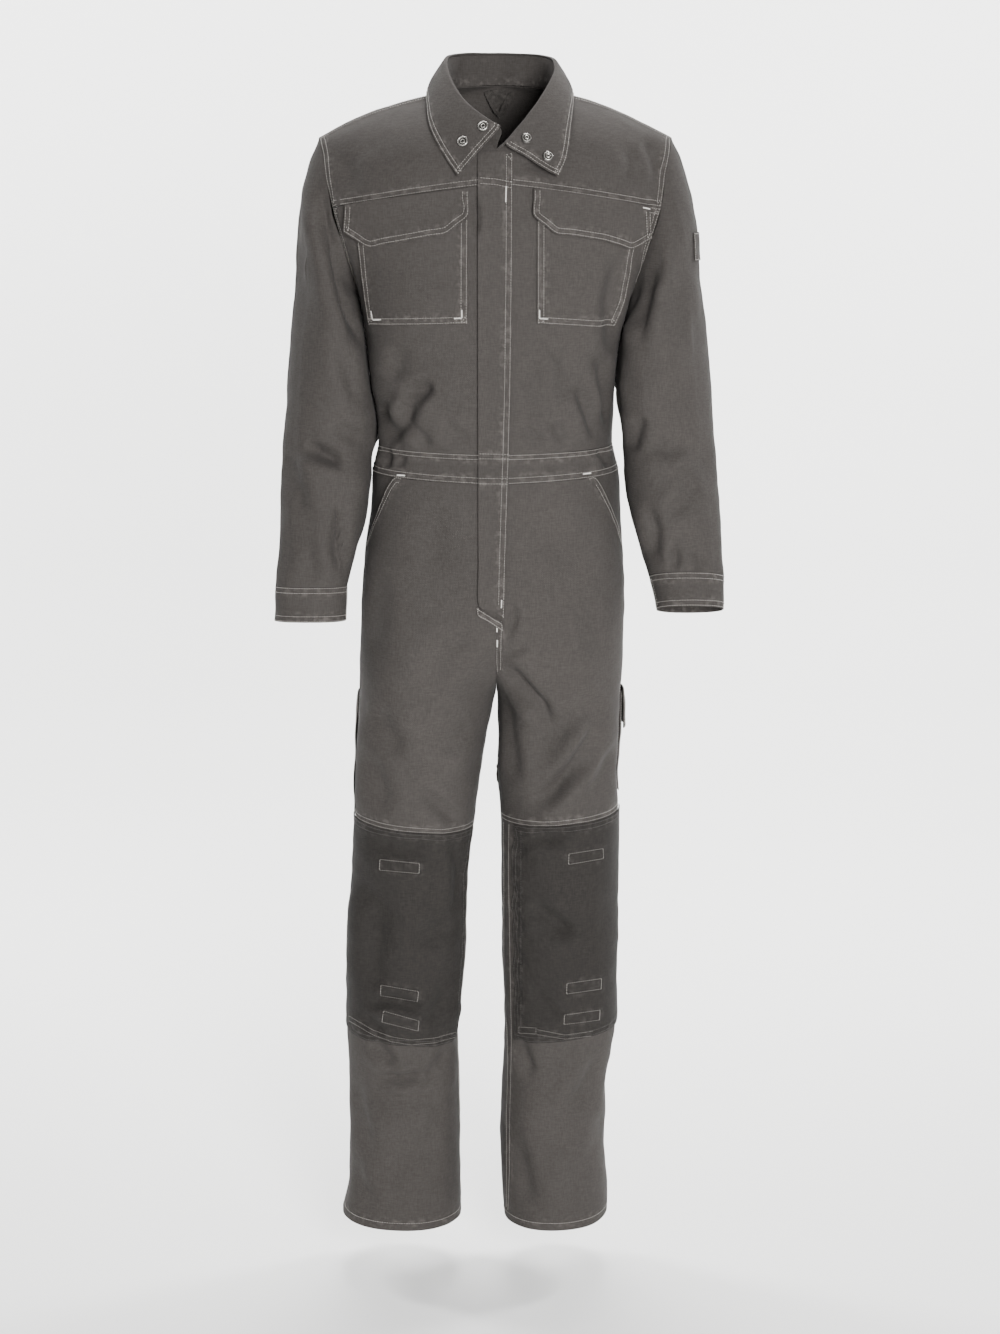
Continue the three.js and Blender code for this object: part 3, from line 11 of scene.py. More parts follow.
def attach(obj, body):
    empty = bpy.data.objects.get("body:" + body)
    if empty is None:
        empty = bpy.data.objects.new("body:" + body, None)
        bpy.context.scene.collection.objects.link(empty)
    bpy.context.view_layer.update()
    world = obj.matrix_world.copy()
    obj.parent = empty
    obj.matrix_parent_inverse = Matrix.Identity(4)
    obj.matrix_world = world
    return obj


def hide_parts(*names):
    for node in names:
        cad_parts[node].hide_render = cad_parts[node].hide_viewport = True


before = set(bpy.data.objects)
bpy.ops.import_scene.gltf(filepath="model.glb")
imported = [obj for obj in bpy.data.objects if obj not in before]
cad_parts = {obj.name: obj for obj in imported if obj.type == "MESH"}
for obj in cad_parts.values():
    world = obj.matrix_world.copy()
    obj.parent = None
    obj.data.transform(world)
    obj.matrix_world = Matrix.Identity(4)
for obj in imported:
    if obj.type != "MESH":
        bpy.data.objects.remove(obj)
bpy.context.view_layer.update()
bpy.ops.object.select_all(action="DESELECT")


# Camera. The suit is photographed from the front, a little above its waist, with a long lens.
# The lens stands 3.3 m off and looks 11.7 degrees down, so the neck and the cuffs show their insides.
LENS = 66.76
TILT = math.radians(11.7)
STAND = Vector((0.005, -3.300, -0.080))
SENSOR = 36.0
MIDDLE = (500.0, 667.0)
FOCAL = LENS / SENSOR * 2.0 * MIDDLE[1]
bpy.ops.object.camera_add(location=STAND, rotation=(math.pi / 2 - TILT, 0.0, 0.0))
camera = bpy.context.object
camera.name = "camera"
camera.data.lens = LENS
camera.data.sensor_fit = "VERTICAL"
camera.data.sensor_height = SENSOR
bpy.context.scene.camera = camera


def picture_place(points):
    """Where points in metres fall in the 1000 x 1334 picture, across and down."""
    across = points[:, 0] - STAND.x
    away = points[:, 1] - STAND.y
    up = points[:, 2] - STAND.z
    depth = away * math.cos(TILT) - up * math.sin(TILT)
    rise = away * math.sin(TILT) + up * math.cos(TILT)
    px = MIDDLE[0] + FOCAL * across / depth
    py = MIDDLE[1] - FOCAL * rise / depth
    return np.stack([px, py], axis=1)


def picture_ray(px, py):
    """The direction from the lens through a place in the picture."""
    across = (px - MIDDLE[0]) / FOCAL
    rise = (MIDDLE[1] - py) / FOCAL
    return Vector((
        across,
        math.cos(TILT) + rise * math.sin(TILT),
        rise * math.cos(TILT) - math.sin(TILT),
    )).normalized()


# Colours are written as the sRGB hex that the eye reads, and one function turns them linear.
def colour(text):
    parts = [int(text[i:i + 2], 16) / 255.0 for i in (1, 3, 5)]
    return [c / 12.92 if c <= 0.04045 else ((c + 0.055) / 1.055) ** 2.4 for c in parts] + [1.0]


def node(tree, kind, links=None, inputs=None, **settings):
    """Add one shader node with its settings, its fixed inputs and its links."""
    made = tree.nodes.new(kind)
    for key, value in settings.items():
        setattr(made, key, value)
    for key, value in (inputs or {}).items():
        made.inputs[key].default_value = value
    for key, socket in (links or {}).items():
        tree.links.new(socket, made.inputs[key])
    return made


def new_material(name):
    material = bpy.data.materials.new(name)
    material.use_nodes = True
    tree = material.node_tree
    tree.nodes.clear()
    return material, tree


# Floor and backdrop: one sheet of matt photographer's paper that sweeps up behind the suit.
# The suit hangs clear of it, as on the unseen rail of a studio.
FLOOR = -1.640
bpy.ops.mesh.primitive_plane_add(size=1.0, location=(0.0, -1.2, FLOOR))
floor = bpy.context.object
floor.name = "floor"
floor.scale = (9.0, 7.0, 1.0)
bpy.ops.object.transform_apply(location=True, rotation=True, scale=True)
bpy.ops.object.mode_set(mode="EDIT")
bpy.ops.mesh.select_all(action="DESELECT")
bpy.ops.mesh.select_mode(type="EDGE")
bm = bmesh.from_edit_mesh(floor.data)
for edge in bm.edges:
    edge.select = all(v.co.y > 2.0 for v in edge.verts)
bmesh.update_edit_mesh(floor.data)
for rise, back in ((0.04, 0.35), (0.16, 0.30), (0.30, 0.20), (0.40, 0.08), (4.6, 0.0)):
    bpy.ops.mesh.extrude_region_move(TRANSFORM_OT_translate={"value": (0.0, back, rise)})
bpy.ops.object.mode_set(mode="OBJECT")
bpy.ops.object.shade_smooth()
paper, tree = new_material("matt_backdrop_paper")
place = node(tree, "ShaderNodeTexCoord").outputs["Object"]
grain = node(tree, "ShaderNodeTexNoise", {"Vector": place}, {"Scale": 60.0, "Detail": 3.0})
paper_shader = node(
    tree,
    "ShaderNodeBsdfPrincipled",
    inputs={"Base Color": colour("#F6F6F5"), "Roughness": 0.9, "Specular IOR Level": 0.2},
)
paper_bump = node(
    tree, "ShaderNodeBump", {"Height": grain.outputs["Fac"]}, {"Strength": 0.05, "Distance": 0.001}
)
tree.links.new(paper_bump.outputs["Normal"], paper_shader.inputs["Normal"])
node(tree, "ShaderNodeOutputMaterial", {"Surface": paper_shader.outputs["BSDF"]})
floor.data.materials.append(paper)

# Light: a pale room with one large soft box in front, near the lens, and a weaker one each side.
# Three more light only the backdrop behind the suit.
world = bpy.data.worlds.new("white_room")
bpy.context.scene.world = world
world.use_nodes = True
world.node_tree.nodes["Background"].inputs["Color"].default_value = (1.0, 1.0, 1.0, 1.0)
world.node_tree.nodes["Background"].inputs["Strength"].default_value = 0.33
for name, place, target, watts, size in (
    ("softbox_front", (0.8, -3.4, 0.05), (0.0, 0.0, -0.5), 225.0, 1.2),
    ("softbox_left", (-2.7, -1.0, 0.0), (0.0, 0.0, -0.7), 4.0, 1.5),
    ("softbox_right", (2.7, -1.0, 0.0), (0.0, 0.0, -0.7), 5.0, 1.5),
    ("backdrop_left", (-2.0, 1.2, 0.7), (0.5, 3.2, -0.6), 140.0, 1.2),
    ("backdrop_right", (2.0, 1.2, 0.7), (-0.5, 3.2, -0.6), 140.0, 1.2),
    ("backdrop_floor", (0.0, 0.7, 1.9), (0.0, 1.7, -1.6), 120.0, 1.2),
):
    bpy.ops.object.light_add(type="AREA", location=place)
    lamp = bpy.context.object
    lamp.name = name
    lamp.data.energy = watts
    lamp.data.shape = "DISK"
    lamp.data.size = size
    aim = Vector(target) - Vector(place)
    lamp.rotation_euler = aim.to_track_quat("-Z", "Y").to_euler()


# Twill. Polyester-cotton, about 300 g/m2, piece-dyed a warm dark grey. It is matt and slightly hairy:
# the light rolls off it softly, the diagonal of the weave just shows, and the pucker tops beside the
# rows of stitches are painted paler, partly as rubbed wear and partly as a painted highlight.
def woven_cloth(name, deep, pale, wear_and_highlight, weave_height):
    material, tree = new_material(name)
    place = node(tree, "ShaderNodeTexCoord").outputs["Object"]
    # Real twill lines stand 0.7 mm apart, too fine for the picture, so they are drawn 1.8 mm apart.
    lines = node(
        tree,
        "ShaderNodeTexWave",
        {"Vector": place},
        {"Scale": 246.0, "Distortion": 1.5, "Detail": 1.0, "Detail Scale": 2.0},
        bands_direction="DIAGONAL",
    )
    # Thick places in the yarn run a few millimetres across and down the cloth.
    weft = node(tree, "ShaderNodeMapping", {"Vector": place}, {"Scale": (130.0, 130.0, 620.0)})
    warp = node(tree, "ShaderNodeMapping", {"Vector": place}, {"Scale": (620.0, 620.0, 110.0)})
    weft = node(tree, "ShaderNodeTexNoise", {"Vector": weft.outputs["Vector"]}, {"Scale": 1.0})
    warp = node(tree, "ShaderNodeTexNoise", {"Vector": warp.outputs["Vector"]}, {"Scale": 1.0})
    yarn = node(
        tree,
        "ShaderNodeMath",
        {0: weft.outputs["Fac"], 1: warp.outputs["Fac"]},
        operation="ADD",
    )
    spread = node(
        tree,
        "ShaderNodeMapRange",
        {"Value": yarn.outputs["Value"]},
        {"From Min": 0.72, "From Max": 1.28},
    )
    tone = node(
        tree, "ShaderNodeMix", {0: spread.outputs["Result"]}, {6: deep, 7: pale}, data_type="RGBA"
    )
    # The dye sits a little unevenly over a hand's breadth.
    cloud = node(tree, "ShaderNodeTexNoise", {"Vector": place}, {"Scale": 8.0, "Detail": 3.0})
    shade = node(
        tree,
        "ShaderNodeMapRange",
        {"Value": cloud.outputs["Fac"]},
        {"From Min": 0.3, "From Max": 0.7, "To Min": 0.95, "To Max": 1.05},
    )
    clouded = node(
        tree,
        "ShaderNodeVectorMath",
        {0: tone.outputs[2], "Scale": shade.outputs["Result"]},
        operation="SCALE",
    )
    # "sewn" holds the distance to the nearest row of stitches in millimetres. Next to a row the
    # cloth puckers, and the tops of the puckers are painted paler: partly rubbed wear, partly a painted
    # highlight.
    sewn = node(tree, "ShaderNodeAttribute", attribute_name="sewn")
    close = node(
        tree,
        "ShaderNodeMapRange",
        {"Value": sewn.outputs["Fac"]},
        {"From Min": 0.5, "From Max": 9.0, "To Min": 1.0, "To Max": 0.0},
    )
    pucker = node(tree, "ShaderNodeTexNoise", {"Vector": place}, {"Scale": 150.0, "Detail": 1.5})
    rubbed_and_highlit = node(
        tree,
        "ShaderNodeMapRange",
        {"Value": pucker.outputs["Fac"]},
        {"From Min": 0.48, "From Max": 0.75, "To Min": 0.0, "To Max": 0.7},
    )
    rubbed_and_highlit = node(
        tree,
        "ShaderNodeMath",
        {0: rubbed_and_highlit.outputs["Result"], 1: close.outputs["Result"]},
        operation="MULTIPLY",
    )
    # The paler colour on the pucker tops is partly rubbed wear and partly a painted highlight.
    worn_and_highlit_tone = node(
        tree,
        "ShaderNodeMix",
        {0: rubbed_and_highlit.outputs["Value"], 6: clouded.outputs["Vector"]},
        {7: wear_and_highlight},
        data_type="RGBA",
    )
    gathered = node(
        tree,
        "ShaderNodeMath",
        {0: pucker.outputs["Fac"], 1: close.outputs["Result"]},
        operation="MULTIPLY",
    )
    groove = node(
        tree,
        "ShaderNodeMapRange",
        {"Value": sewn.outputs["Fac"]},
        {"From Min": 0.3, "From Max": 2.6, "To Min": 0.0, "To Max": 1.0},
        interpolation_type="SMOOTHSTEP",
    )
    # From fine to coarse: the twill lines, the yarn, the puckers, and the groove along a row.
    normal = {}
    for height, strength, distance in (
        (lines.outputs["Fac"], weave_height, 0.0004),
        (yarn.outputs["Value"], 0.22, 0.0004),
        (gathered.outputs["Value"], 0.8, 0.0022),
        (groove.outputs["Result"], 0.6, 0.0008),
    ):
        bump = node(
            tree,
            "ShaderNodeBump",
            {"Height": height, **normal},
            {"Strength": strength, "Distance": distance},
        )
        normal = {"Normal": bump.outputs["Normal"]}
    shader = node(
        tree,
        "ShaderNodeBsdfPrincipled",
        {"Base Color": worn_and_highlit_tone.outputs[2], **normal},
        {
            "Roughness": 0.88,
            "Specular IOR Level": 0.10,
            "Sheen Weight": 0.02,
            "Sheen Roughness": 0.5,
        },
    )
    node(tree, "ShaderNodeOutputMaterial", {"Surface": shader.outputs["BSDF"]})
    return material


twill = woven_cloth(
    "polyester_cotton_twill", colour("#363331"), colour("#3E3B39"), colour("#5A5653"), 0.25
)


# Trousers. Each leg is a front and a back of twill, felled together down the side and inside the
# leg. The front is cut across at the knee, where it laps over the knee cloth in two rows.
def outer_side(names, wall, facing=None, merge=0.01):
    """The outer side of the CAD walls of these nodes, as one open sheet of four-sided faces."""
    sheet = bmesh.new()
    for name in names:
        wall_mesh = bmesh.new()
        wall_mesh.from_mesh(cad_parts[name].data)
        bmesh.ops.remove_doubles(wall_mesh, verts=wall_mesh.verts, dist=1e-5)
        rim = {
            face
            for edge in wall_mesh.edges
            if abs(edge.calc_length() * 1000.0 - wall) < 0.02 * wall
            for face in edge.link_faces
        }
        bmesh.ops.delete(wall_mesh, geom=list(rim), context="FACES")
        sides = []
        left = set(wall_mesh.faces)
        while left:
            side, todo = [], [left.pop()]
            while todo:
                face = todo.pop()
                side.append(face)
                for edge in face.edges:
                    for other in edge.link_faces:
                        if other in left:
                            left.remove(other)
                            todo.append(other)
            sides.append(side)

        def worth(side):
            if facing is None:
                return sum(face.calc_area() for face in side)
            return sum(face.calc_area() * face.normal.dot(Vector(facing)) for face in side)

        outer = max(sides, key=worth)
        inner = [face for side in sides if side is not outer for face in side]
        bmesh.ops.delete(wall_mesh, geom=inner, context="FACES")
        part = bpy.data.meshes.new("part")
        wall_mesh.to_mesh(part)
        wall_mesh.free()
        sheet.from_mesh(part)
        bpy.data.meshes.remove(part)
    bmesh.ops.remove_doubles(sheet, verts=sheet.verts, dist=merge / 1000.0)
    bmesh.ops.join_triangles(
        sheet, faces=sheet.faces, angle_face_threshold=math.pi, angle_shape_threshold=math.pi
    )
    return sheet


def read_points(mesh, what="co"):
    values = np.empty(len(mesh.vertices) * 3)
    mesh.vertices.foreach_get(what, values)
    return values.reshape(-1, 3)


def write_points(mesh, points):
    mesh.vertices.foreach_set("co", points.ravel())
    mesh.update()


def smooth(t):
    t = np.clip(t, 0.0, 1.0)
    return t * t * (3.0 - 2.0 * t)


def crease_field(place, creases):
    """How far each place stands in or out for the listed creases, in millimetres.

    A crease is (line, half-width, depth): a soft trough that fades out at both ends, with the cloth
    that it was taken from standing up as a ridge, more on one side than on the other.
    """
    height = np.zeros(len(place))
    for line, half_width, depth in creases:
        line = np.array(line, dtype=float)
        steps = np.diff(line, axis=0)
        lengths = np.hypot(steps[:, 0], steps[:, 1])
        run = np.concatenate([[0.0], np.cumsum(lengths)]) / lengths.sum()
        best = np.full(len(place), 1e9)
        along = np.zeros(len(place))
        side = np.zeros(len(place))
        for i, step in enumerate(steps):
            away = place - line[i]
            t = np.clip((away @ step) / lengths[i] ** 2, 0.0, 1.0)
            gap = away - t[:, None] * step
            distance = np.hypot(gap[:, 0], gap[:, 1])
            nearer = distance < best
            best = np.where(nearer, distance, best)
            along = np.where(nearer, run[i] + t * (run[i + 1] - run[i]), along)
            turn = np.sign(step[0] * gap[:, 1] - step[1] * gap[:, 0])
            side = np.where(nearer, turn, side)
        fade = smooth(np.minimum(along, 1.0 - along) / 0.32)
        reach = side * best / (1.2 * half_width)
        trough = np.exp(-(reach**2))
        ridge = 0.50 * np.exp(-(((reach - 1.9) / 1.05) ** 2))
        ridge = ridge + 0.22 * np.exp(-(((reach + 1.9) / 1.05) ** 2))
        height += depth * fade * (ridge - trough)
    return height


def unevenness(points, size, seed):
    """A gentle, seeded swell between -1 and 1, about size millimetres from hollow to hollow."""
    chance = np.random.default_rng(seed)
    total = np.zeros(len(points))
    for _ in range(14):
        direction = chance.normal(size=3)
        direction /= np.linalg.norm(direction)
        length = size * chance.uniform(0.7, 1.7) / 1000.0
        total += np.sin(points @ direction * 2.0 * math.pi / length + chance.uniform(0, 6.3))
    return total / 5.0


# Creases of the front, at their places in the picture: line, half-width there, depth in mm.
FRONT_CREASES = [
    # Sleeve at the viewer's left: the long folds off the shoulder, the elbow and the forearm.
    ([(316, 166), (327, 225), (343, 290), (364, 356)], 7, 4.5),
    ([(333, 232), (350, 300), (366, 352)], 5, 2.5),
    ([(300, 210), (302, 290), (310, 350)], 12, 1.6),
    ([(340, 340), (352, 382), (360, 410)], 7, 2.2),
    ([(303, 444), (320, 453), (347, 464)], 6, 5.5),
    ([(330, 425), (350, 432), (365, 445)], 6, 2.0),
    ([(288, 450), (294, 483), (309, 514)], 6, 2.6),
    ([(332, 498), (336, 545), (346, 578)], 6, 3.4),
    ([(306, 545), (312, 570), (310, 588)], 6, 1.4),
    # Sleeve at the viewer's right.
    ([(662, 246), (650, 280), (641, 320), (637, 360)], 7, 3.0),
    ([(684, 230), (680, 300), (686, 360)], 11, 1.6),
    ([(644, 412), (636, 434), (627, 454)], 6, 2.8),
    ([(652, 440), (668, 450), (690, 440)], 7, 1.8),
    ([(697, 477), (684, 500), (671, 519)], 7, 2.4),
    ([(645, 500), (655, 530), (652, 562)], 6, 2.6),
    ([(671, 540), (676, 556), (674, 572)], 4, 2.2),
    ([(698, 548), (700, 560), (698, 573)], 4, 1.6),
    # Yokes and chest.
    ([(644, 132), (652, 156), (662, 186)], 6, 2.0),
    ([(628, 140), (634, 165), (632, 190)], 7, 1.4),
    ([(528, 156), (541, 164), (558, 171)], 6, 1.8),
    ([(345, 150), (350, 175), (348, 195)], 8, 1.4),
    ([(472, 192), (478, 215), (474, 240)], 3.5, 1.8),
    ([(622, 250), (610, 300), (612, 345), (618, 372)], 7, 3.0),
    ([(400, 340), (398, 365), (390, 385)], 8, 1.6),
    ([(528, 350), (536, 390), (545, 434)], 9, 1.6),
    ([(560, 338), (566, 372), (560, 405)], 9, 1.4),
    # Cloth that blouses over the waistband.
    ([(399, 397), (413, 390), (436, 387)], 6, 4.2),
    ([(432, 386), (408, 410), (394, 446)], 6, 3.6),
    ([(381, 400), (388, 424), (396, 447)], 5, 3.2),
    ([(406, 420), (418, 434), (433, 448)], 5, 2.4),
    ([(440, 415), (452, 432), (470, 444)], 6, 1.6),
    ([(588, 350), (603, 366), (609, 400), (606, 436)], 6, 4.4),
    ([(577, 380), (589, 414), (598, 444)], 5, 3.2),
    ([(553, 417), (560, 432), (567, 447)], 5, 2.2),
    ([(520, 420), (530, 434), (545, 446)], 5, 1.5),
    # Waistband.
    ([(383, 445), (389, 458), (386, 470)], 4, 2.6),
    ([(395, 448), (401, 458), (399, 470)], 3.5, 1.8),
    ([(599, 446), (606, 456), (611, 468)], 4, 2.4),
    ([(545, 452), (551, 462), (548, 474)], 5, 1.0),
    # Seat front and fly.
    ([(438, 500), (434, 540), (440, 580)], 12, 1.2),
    ([(522, 500), (545, 530), (572, 562)], 12, 1.5),
    ([(470, 622), (442, 660), (416, 700)], 11, 1.8),
    ([(512, 600), (513, 622), (503, 640)], 4, 2.0),
    ([(501, 655), (516, 652), (530, 645)], 3, 1.2),
    ([(501, 662), (519, 682), (540, 705), (552, 735)], 6, 4.6),
    ([(502, 690), (511, 740), (516, 790)], 7, 3.0),
    ([(490, 690), (478, 740), (468, 790)], 9, 2.2),
    # Thigh at the viewer's left.
    ([(371, 704), (388, 734), (403, 762)], 9, 3.0),
    ([(366, 745), (378, 785), (390, 815)], 8, 2.8),
    ([(440, 754), (455, 742), (474, 720)], 9, 2.8),
    ([(415, 786), (440, 806), (463, 825)], 6, 2.8),
    ([(395, 690), (425, 700), (445, 690)], 10, 1.4),
    ([(380, 560), (378, 620), (372, 670)], 10, 1.4),
    # Thigh at the viewer's right.
    ([(521, 808), (550, 794), (577, 765), (595, 728), (607, 700)], 6.5, 5.2),
    ([(548, 748), (571, 722), (608, 698)], 9, 3.2),
    ([(566, 690), (546, 735), (538, 780)], 12, 2.2),
    ([(610, 740), (604, 770), (590, 800)], 7, 2.0),
    ([(590, 590), (596, 640), (610, 680)], 10, 1.4),
    # Knees.
    ([(364, 840), (402, 850), (440, 842)], 8, 2.6),
    ([(356, 870), (370, 905), (376, 950)], 7, 2.6),
    ([(376, 870), (384, 915), (374, 960), (378, 1000)], 9, 3.0),
    ([(417, 948), (436, 932), (452, 924)], 8, 3.0),
    ([(365, 1003), (392, 1001), (418, 1008), (430, 1016)], 4.5, 4.2),
    ([(428, 1028), (437, 1012), (452, 990)], 6, 2.8),
    ([(362, 1012), (372, 1024), (384, 1036)], 5, 2.2),
    ([(452, 830), (460, 870), (456, 920)], 5, 2.0),
    ([(506, 830), (518, 846), (523, 862)], 4, 1.3),
    ([(505, 878), (516, 896), (523, 906)], 4, 1.3),
    ([(508, 908), (517, 922), (523, 934)], 4, 1.3),
    ([(508, 940), (516, 954), (522, 968)], 4, 1.3),
    ([(510, 975), (517, 990), (521, 1003)], 4, 1.3),
    ([(529, 832), (548, 838), (572, 834)], 6, 2.4),
    ([(528, 900), (548, 918), (578, 937)], 7, 4.2),
    ([(530, 925), (552, 935), (580, 930)], 7, 1.8),
    ([(530, 985), (545, 1005), (566, 1022)], 7, 2.4),
    # Shins.
    ([(376, 1076), (401, 1080), (428, 1074)], 4, 4.4),
    ([(370, 1040), (384, 1053), (397, 1068)], 5, 3.2),
    ([(453, 1044), (441, 1066), (422, 1086)], 7, 3.4),
    ([(352, 1070), (359, 1115), (374, 1160)], 7, 2.4),
    ([(449, 1098), (434, 1130), (418, 1168)], 9, 2.0),
    ([(352, 1150), (360, 1182), (377, 1216)], 6, 1.8),
    ([(400, 1110), (404, 1150), (396, 1190)], 13, 1.4),
    ([(517, 1034), (524, 1054), (533, 1080)], 5, 2.8),
    ([(607, 1048), (589, 1084), (564, 1124)], 8, 3.4),
    ([(604, 1102), (597, 1140), (587, 1178)], 7, 1.2),
    ([(515, 1128), (522, 1165), (533, 1212)], 7, 2.4),
    ([(582, 1150), (572, 1185), (574, 1214)], 8, 1.8),
    ([(550, 1080), (556, 1130), (548, 1180)], 13, 1.3),
]
# Creases of the hidden back, of the same kinds: line in mm across and up, half-width, depth.
BACK_CREASES = [
    ([(-150, -235), (-118, -310), (-66, -365)], 15, 3.4),
    ([(148, -240), (120, -318), (74, -352)], 14, 3.0),
    ([(-165, -160), (-150, -215), (-150, -280)], 10, 2.8),
    ([(166, -165), (153, -225), (156, -300)], 10, 2.6),
    ([(-22, -150), (-36, -220), (-30, -300)], 17, 1.8),
    ([(58, -130), (50, -200), (64, -270)], 16, 1.6),
    ([(-60, -400), (0, -418), (55, -404)], 11, 3.4),
    ([(-135, -380), (-105, -420), (-92, -450)], 8, 3.4),
    ([(128, -385), (104, -425), (98, -452)], 8, 3.2),
    ([(-40, -425), (-30, -440), (-34, -456)], 7, 2.0),
    ([(38, -422), (46, -440), (40, -456)], 7, 2.0),
    ([(-100, -35), (-70, -48), (-30, -50)], 10, 1.6),
    ([(-110, -520), (-90, -580), (-96, -640)], 14, 1.8),
    ([(105, -515), (92, -575), (100, -650)], 14, 1.7),
    ([(-8, -720), (-40, -765), (-96, -800)], 10, 4.4),
    ([(8, -725), (46, -772), (104, -796)], 10, 4.2),
    ([(-20, -700), (-60, -715), (-100, -712)], 9, 2.2),
    ([(22, -702), (66, -718), (96, -720)], 9, 2.2),
    ([(-30, -800), (-50, -850), (-90, -880)], 10, 2.4),
    ([(36, -805), (52, -856), (88, -890)], 10, 2.4),
    ([(-160, -925), (-112, -950), (-66, -940)], 8, 4.4),
    ([(-155, -980), (-110, -1000), (-60, -985)], 8, 4.6),
    ([(-150, -1030), (-100, -1045), (-70, -1035)], 8, 3.0),
    ([(60, -930), (104, -955), (150, -938)], 8, 4.4),
    ([(56, -985), (106, -1004), (152, -990)], 8, 4.4),
    ([(66, -1032), (110, -1052), (144, -1040)], 8, 3.0),
    ([(-150, -1180), (-138, -1300), (-120, -1400)], 14, 2.6),
    ([(-80, -1240), (-90, -1340), (-84, -1450)], 13, 2.0),
    ([(130, -1190), (118, -1300), (112, -1420)], 14, 2.4),
    ([(70, -1260), (76, -1360), (66, -1460)], 13, 2.0),
    ([(-240, -150), (-222, -230), (-205, -300)], 10, 3.2),
    ([(-258, -330), (-232, -345), (-208, -330)], 8, 4.2),
    ([(-256, -375), (-232, -392), (-212, -384)], 8, 3.6),
    ([(-262, -440), (-248, -500), (-252, -570)], 9, 2.2),
    ([(236, -150), (222, -230), (208, -300)], 10, 3.0),
    ([(206, -335), (232, -352), (258, -338)], 8, 4.0),
    ([(210, -385), (236, -398), (258, -386)], 8, 3.4),
    ([(252, -450), (240, -510), (248, -570)], 9, 2.2),
]
# Seams that lie a little lower than on the solids: from x, to x, top, seam, bottom, shift in mm.
LOWERED = [
    (-260.0, 3.0, -800.0, -956.0, -1150.0, -14.0),
    (3.0, 260.0, -850.0, -956.0, -1100.0, -4.0),
    (-260.0, 3.0, -1150.0, -1285.0, -1420.0, -6.0),
    (-330.0, -205.0, -500.0, -592.0, -640.0, -10.0),
]
# The listed creases are pressed in this many times as deep, in front and behind.
FRONT_DEPTH = 2.7
BACK_DEPTH = 1.5
# A panel's wall on the solids in mm, and what each finished piece is made from: nodes and wall.
PANEL_WALL = 1.5
made_from = {}


def cloth(name, nodes, wall, level, facing=None, merge=0.01, calm=1.0):
    """Dress CAD walls: a finer sheet through their points, with the creases pressed into it."""
    made_from[name] = (nodes, wall)
    sheet = outer_side(nodes, wall, facing, merge)
    mesh = bpy.data.meshes.new(name)
    sheet.to_mesh(mesh)
    sheet.free()
    piece = bpy.data.objects.new(name, mesh)
    bpy.context.collection.objects.link(piece)
    finer = piece.modifiers.new("finer", "SUBSURF")
    finer.levels = level
    finer.render_levels = level
    finer.boundary_smooth = "PRESERVE_CORNERS"
    wanted = read_points(mesh)
    moved = wanted.copy()
    # The sheet's points are moved out in three steps, until the finer sheet runs through the CAD's.
    for _ in range(3):
        bpy.context.view_layer.update()
        seen = piece.evaluated_get(bpy.context.evaluated_depsgraph_get()).to_mesh()
        moved = moved + wanted - read_points(seen)[: len(wanted)]
        write_points(mesh, moved)
    bpy.context.view_layer.objects.active = piece
    piece.select_set(True)
    bpy.ops.object.modifier_apply(modifier="finer")
    piece.select_set(False)
    mesh = piece.data
    points = read_points(mesh)
    for low_x, high_x, top, seam_z, bottom, shift in LOWERED:
        x, z = points[:, 0] * 1000.0, points[:, 2] * 1000.0
        weight = np.where(z > seam_z, smooth((top - z) / (top - seam_z)), 0.0)
        weight = np.where(z <= seam_z, smooth((z - bottom) / (seam_z - bottom)), weight)
        points[:, 2] += np.where((x > low_x) & (x < high_x), weight * shift / 1000.0, 0.0)
    write_points(mesh, points)
    normals = read_points(mesh, "normal")
    towards = smooth((-normals[:, 1] - 0.02) / 0.40)
    behind = smooth((normals[:, 1] - 0.02) / 0.40)
    height = towards * crease_field(picture_place(points), FRONT_CREASES) * FRONT_DEPTH
    height += behind * crease_field(points[:, [0, 2]] * 1000.0, BACK_CREASES) * BACK_DEPTH
    height += 1.3 * unevenness(points, 95.0, 3) + 0.35 * unevenness(points, 30.0, 8)
    # Along the seam between the legs the cloth is held still, so that the seam stays shut.
    x, z = points[:, 0] * 1000.0, points[:, 2] * 1000.0
    still = smooth(1.0 - np.abs(x - 1.0) / 24.0)
    still *= smooth((-560.0 - z) / 50.0) * smooth((z + 850.0) / 50.0)
    height *= 1.0 - still
    write_points(mesh, points + normals * (calm * height / 1000.0)[:, None])
    return piece


def shut_rise(piece, sign):
    """Draw a leg's edge to the middle, from under the fly down to where the legs part."""
    points = read_points(piece.data) * 1000.0
    edge_x = sign * 0.05
    rim = [i for ring in edges_of(piece) for i in ring]
    rim = np.array([i for i in rim if abs(points[i, 0]) < 16.0 and -800.0 < points[i, 2] < -510.0])
    order = rim[np.argsort(points[rim, 2])]
    reach = np.interp(points[:, 2], points[order, 2], points[order, 0] - edge_x)
    held = smooth((points[:, 2] + 812.0) / 24.0)
    near = smooth(1.0 - np.abs(points[:, 0]) / 40.0)
    near[rim] = 1.0
    reach[rim] = points[rim, 0] - edge_x
    points[:, 0] -= reach * held * near
    write_points(piece.data, points / 1000.0)


def surface_of(*pieces):
    """The outer surface of some pieces, to lay stitches on."""
    corners, faces = [], []
    for piece in pieces:
        start = len(corners)
        corners.extend(v.co.copy() for v in piece.data.vertices)
        faces.extend([start + i for i in p.vertices] for p in piece.data.polygons)
    return BVHTree.FromPolygons(corners, faces)


